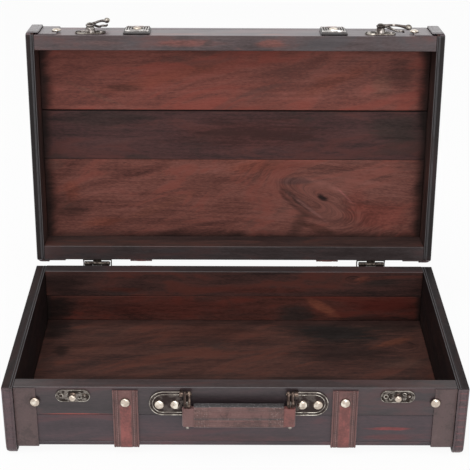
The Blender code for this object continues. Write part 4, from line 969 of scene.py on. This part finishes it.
def add_hook(side, label):
    """An eye, an arm that sinks to a claw with a raised tip, and a lever that rises to a thumb knob."""
    reach, claw_r, claw_level, eye_level = 19.45, 2.9, 3.6, 7.8
    first, tip_x = radians(150), reach + claw_r
    start_x, start_y = reach + claw_r * cos(first), claw_r * sin(first)
    arm, lever = [], []
    for share in [step / 10 for step in range(10)]:
        ease = share * share * (3 - 2 * share)
        arm.append((1.8 + (start_x - 1.8) * share, start_y * share + sin(pi * share),
                    eye_level + (claw_level - eye_level) * ease))
    for turn in [first - radians(18.75) * step for step in range(9)]:
        arm.append((reach + claw_r * cos(turn), claw_r * sin(turn), claw_level))
    arm += [(tip_x, -1.4, claw_level + 0.3), (tip_x, -2.4, claw_level + 0.9), (tip_x - 0.2, -3.0, claw_level + 1.6)]
    arm_r = [1.5 - 0.4 * min(1, number / 9) for number in range(len(arm) - 2)] + [0.95, 0.6]
    for share in [step / 8 for step in range(9)]:
        swell = sin(pi * share)
        lever.append((1.8 + 22.6 * share, 1.2 * share - swell, eye_level + 0.2 * share + 1.5 * swell))
    eye = turned([(1.8, 8.7), (3.2, 8.8), (4.2, 8.3), (4.2, 7.3), (3.4, 6.9), (1.8, 6.9), (1.8, 8.7)], 28)
    knob = bmesh.new()
    bmesh.ops.create_uvsphere(knob, u_segments=20, v_segments=12, radius=1.0)
    bmesh.ops.scale(lay(knob), vec=(0.0034, 0.0027, 0.0027), verts=knob.verts)
    place = on_lid_front(side * latch_x, hook_rise, 0) @ Matrix.Rotation(radians(55 if side < 0 else -18), 4, 'Z')
    add_piece(f"{label}_hook_casting", f"{label}_hook", f"{label}_hook", place, [hook_bronze, knob_brass],
              [(eye, 0), (bar(arm, arm_r), 0), (bar(lever, [1.7, 1.5, 1.3, 1.2, 1.2, 1.2, 1.3, 1.5, 1.8]), 0),
               (knob, 1, 26.5, 1.2, 8)], 50)


def add_buckle(side, label):
    """Nested ridged frames round a domed stud, on the wide pad of each lid strap, coloured near black as painted
    shade.
    """
    place = on_lid_front(side * strap_x, lid_rim + 0.0175, 0.0022)
    pad = sheet(25.4, 28, 4)
    raise_plate(pad, 1.9)
    soften_rims(pad)
    add_piece(f"{label}_buckle_pad_painted_shade_leather", f"{label}_lid_strap", "lid", place, [painted_shade_pad_leather],
              [(pad, 0, 0, -2.0, -1.9)], 50)
    plate = sheet(23, 21)
    ridge = [(0.2, 0.7), (0.9, 0), (0.2, -0.7), (1.0, 0)]
    step_in(plate, raise_plate(plate, 0.6), [(0.3, 0)] + ridge * 3, [1] + [0, 0, 1, 1] * 3)
    add_piece(f"{label}_buckle_casting", f"{label}_buckle", "lid", place,
              [buckle_pewter, dark_field, dome_brass, dark_bronze], [(plate, None), *nail_head(2, 0, 0, 0.5)])


def add_handle_plate(side, label):
    """A sunk dark plate with two wires round it, open at its inner end, two domed nails, and the link's lug."""
    inner, outer, half_height = 48.3, 77.2, 12.0
    pin_y, pin_z = (handle_plate_drop - pin_drop) / mm, pin_out / mm - 0.3
    plate = stadium(outer - inner, 2 * half_height, straight_end=True)
    step_in(plate, raise_plate(plate, 0.6), [(0.2, 0.2)], [1])
    parts = [(plate, 1, (inner + outer) / 2, 0, 0)]
    for inset, wire_r in ((0.5, 0.45), (3.1, 0.40)):
        bend, level = half_height - inset, 0.9
        arc = [pi / 2 - pi * step / 18 for step in range(19)]
        path = [(outer - half_height + bend * cos(t), bend * sin(t), level) for t in arc]
        path = [(inner + 0.3, bend, level), *path, (inner + 0.3, -bend, level)]
        parts.append((bar(path, [wire_r] * len(path), 8), 0))
    for reach in (54.7, 68.2):
        parts += nail_head(2, reach, (handle_plate_drop - handle_nail_drop) / mm, 0.7)
    lug = bmesh.new()
    bmesh.ops.create_cone(lug, cap_ends=True, segments=28, radius1=0.0022, radius2=0.0022, depth=0.0028)
    under = [knot for knot in lay(lug).verts if knot.co.z < -0.0002]
    bmesh.ops.translate(lug, vec=(0, 0, 0.0006 - pin_out), verts=under)
    pin = turned([(0, 0.7), (1.2, 0.6), (1.6, 0.3), (1.6, 0), (1.2, 0), (1.2, -8.6), (0, -8.6)], 20)
    tongue = bmesh.new()
    bmesh.ops.create_cube(tongue, size=1.0)
    bmesh.ops.scale(tongue, vec=(0.0095, 0.0030, 0.0015), verts=tongue.verts)
    bmesh.ops.bevel(tongue, geom=list(tongue.edges), offset=0.0003, segments=2, affect='EDGES', profile=0.5,
                    material=-1)
    parts += [(lug, 3, 49.3, pin_y, pin_z), (lay(pin, -pi / 2), 3, 40.7, pin_y, pin_z),
              (tongue, 1, 45.75, pin_y - 9.4, 0.8)]
    add_piece(f"{label}_handle_plate_casting", f"{label}_handle_plate", "tray",
              on_front(handle_middle_x, handle_plate_drop) @ Matrix.Diagonal((side, 1, 1, 1)),
              [bead_brass, dark_field, dome_brass, dark_bronze], parts)


def add_handle_link(side, label):
    """Two strands side by side, and the rod whose ball they hold."""
    strands = [(loop_strand(side * rod_x + lean * 0.0018), 0) for lean in (-1, 1)]
    add_piece(f"{label}_handle_link_strands", f"{label}_handle_link", "handle", Matrix.Translation(handle_pin),
              [dark_bronze], strands, 60)
    turns = [pi * step / 12 for step in range(13)]
    ball = [(2.0 * sin(t), 2.0 * cos(t)) for t in turns[:10]]
    foot = [(max(1.6 * sin(t), 0.0), -24.4 + 1.6 * cos(t)) for t in turns[3:]]
    place = Matrix.Translation(handle_pin + Vector((side * rod_x, -rod_back, -rod_drop)))
    add_piece(f"{label}_handle_rod_bar", f"{label}_handle_rod", "handle", place, [bead_brass],
              [(turned(ball + foot, 24), 0)], 50)


def add_grip():
    """A stuffed leather grip: grooved faces, stitch rows, a laced cuff near each end and a fold round each rod."""
    half_body, half_all, half_t, fold_r, cuff_length = 0.0385, 0.0486, 0.0034, 0.0028, 0.0125
    top, bottom, end_top = -0.0087, -0.0298, -0.0111
    middle_z = (top + bottom) / 2
    # The section from its upper back corner round the front, in mm: heights above its middle, and depths of the face
    face = [(10.55, 0.8), (10.3, 0.3), (9.8, 0), (7.0, 0), (6.4, 0.5), (5.8, 0), (2.0, -0.1), (-0.8, 0), (-1.3, 0.5),
            (-1.8, 0), (-2.6, 0), (-3.1, 0.5), (-3.6, 0.1), (-6.6, 0.1), (-7.1, 0.5), (-7.7, 0.1), (-9.6, 0.1),
            (-10.2, 0.4), (-10.55, 1.0)]
    front = [(-half_t + depth * mm, level * mm) for level, depth in face]
    section = front + [(-y, z) for y, z in reversed(front)]

    def stuffed(start, length, steps, thicker=1.0, lower=1.0):
        part = bmesh.new()
        ring = closed_ring(part, [(start, y * thicker, middle_z + z * lower) for y, z in section])
        draw_on(part, ring, (length, 0, 0), steps)
        close_ends(part)
        return part

    work = stuffed(-half_body, 2 * half_body, 40)
    for end, fold_finish in ((-1, 1), (1, 5)):
        fold = bmesh.new()
        bmesh.ops.create_circle(fold, cap_ends=True, segments=32, radius=fold_r)
        for knot in fold.verts:
            knot.co.x += end * (half_all - fold_r if knot.co.x * end > 0.00001 else half_body - 0.0020)
        raise_plate(fold, (end_top - bottom) / mm - 0.3)
        soften_rims(fold)
        join_in(work, fold, Matrix.Translation((0, 0, bottom + 0.0003)), fold_finish)
        join_in(work, stuffed(end * (half_body - 0.0004), -end * cuff_length, 12, 1.08, 0.992), slot=2)
    for one in work.faces:
        one.normal_update()
        if one.normal.z > 0.7 and one.material_index in (0, 2):
            one.material_index = 4
    for level in (0.0078, -0.0022, -0.0083):
        for y in (-half_t, half_t):
            for number in range(31):
                stitch = bmesh.new()
                bmesh.ops.create_icosphere(stitch, subdivisions=1, radius=1.0)
                bmesh.ops.scale(stitch, vec=(0.0006, 0.00022, 0.00022), verts=stitch.verts)
                join_in(work, stitch, Matrix.Translation((-0.0255 + 0.0017 * number, y, middle_z + level)), 3)
    map_along(work, lambda knot: knot.z - middle_z, lambda knot: knot.x)
    bmesh.ops.translate(work, vec=handle_pin + Vector((0, -rod_back, 0)), verts=work.verts)
    grip = finish_piece("handle_grip_leather", work, grip_looks, "handle", "handle_grip", 50)


def add_seam_tongue():
    """The dark tongue that closes the open seam between the lid's front and middle planks."""
    low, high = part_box("lid_middle_plank")
    tongue = sheet((high.x - low.x) / mm, 1)
    raise_plate(tongue, 3)
    add_piece("lid_seam_tongue", None, "lid", lid_turn @ Matrix.Translation((0, lid_front + 0.0845, 0.0335)),
              [stained_wood("seam_tongue_wood", "xyz", 61.3, tray_black, in_lid=True)], [(tongue, 0)], 40)


# Floor, light and camera

def seen_directly(tree):
    """1 for rays from the camera or through mirrors and glass, 0 for the light that falls on things."""
    ray = wire(tree, "LightPath")
    return ray["Is Camera Ray"].maths('MAXIMUM', ray["Is Glossy Ray"].maths('MAXIMUM', ray["Is Transmission Ray"]))


def add_stage():
    floor = stand_in_scene("studio_floor", mesh_of("studio_floor", sheet(12000, 12000)))
    material, tree = start_material("studio_floor_paper")
    shader = tree.nodes["Principled BSDF"]
    for label, value in (("Base Color", (0.9, 0.9, 0.9)), ("Roughness", 0.9), ("Specular IOR Level", 0.0)):
        feed(tree, shader.inputs[label], value)
    glow = wire(tree, "Emission", {"Color": (1, 1, 1), "Strength": 1.0})[0]
    both = wire(tree, "MixShader", {0: seen_directly(tree) * 0.93, 1: Value(tree, shader.outputs[0]), 2: glow})[0]
    feed(tree, tree.nodes["Material Output"].inputs[0], both)
    floor.data.materials.append(material)

    world = bpy.data.worlds.new("studio")
    bpy.context.scene.world = world
    world.use_nodes = True
    sky = world.node_tree.nodes["Background"].inputs
    feed(world.node_tree, sky["Color"], (1, 1, 1))
    feed(world.node_tree, sky["Strength"], seen_directly(world.node_tree).between(0.0, 1.0, 0.55, 1.0))

    for name, place, aim, size, energy in (("overhead_softbox", (-0.35, -0.55, 1.7), (0, 0, 0.1), 1.2, 14.0),
                                           ("front_softbox", (0.5, -1.9, 1.0), (0, 0, 0.15), 1.0, 9.0)):
        lamp = bpy.data.lights.new(name, 'AREA')
        lamp.shape, lamp.size, lamp.energy = 'SQUARE', size, energy
        holder = stand_in_scene(name, lamp)
        holder.location = place
        holder.rotation_euler = (Vector(aim) - Vector(place)).to_track_quat('-Z', 'Y').to_euler()


def add_camera():
    """The photograph's view: its place, its turn, and a small shift."""
    lens = bpy.data.cameras.new("photo_view")
    holder = stand_in_scene("photo_view", lens)
    look_down, turn, roll = radians(26.501), radians(0.1554), radians(0.2534)
    ahead = Vector((sin(turn) * cos(look_down), cos(turn) * cos(look_down), -sin(look_down)))
    level = Vector((cos(turn), -sin(turn), 0))
    above = level.cross(ahead)
    right = cos(roll) * level + sin(roll) * above
    up = cos(roll) * above - sin(roll) * level
    holder.matrix_world = (Matrix.Translation((-0.0090, -1.0701, 0.6567))
                           @ Matrix((right, up, -ahead)).transposed().to_4x4())
    photo_width, focal_length = 470, 1278.975  # pixels
    lens.sensor_width = 36.0
    lens.lens = lens.sensor_width * focal_length / photo_width
    lens.shift_x, lens.shift_y = 6.6278 / photo_width, 20.0 / photo_width
    lens.clip_start = 0.05
    bpy.context.scene.camera = holder


for add in (add_strips, add_nails, add_keeper, add_hook_plate, add_hook, add_buckle, add_handle_plate,
            add_handle_link):
    for side, label in sides:
        add(side, label)
add_grip()
add_seam_tongue()
paint([f"{label}_hinge_{part}" for _, label in sides for part in ("tray_leaf", "lid_leaf", "pin")], hinge_bronze)
add_stage()
add_camera()
bpy.context.scene.view_settings.view_transform = 'Standard'
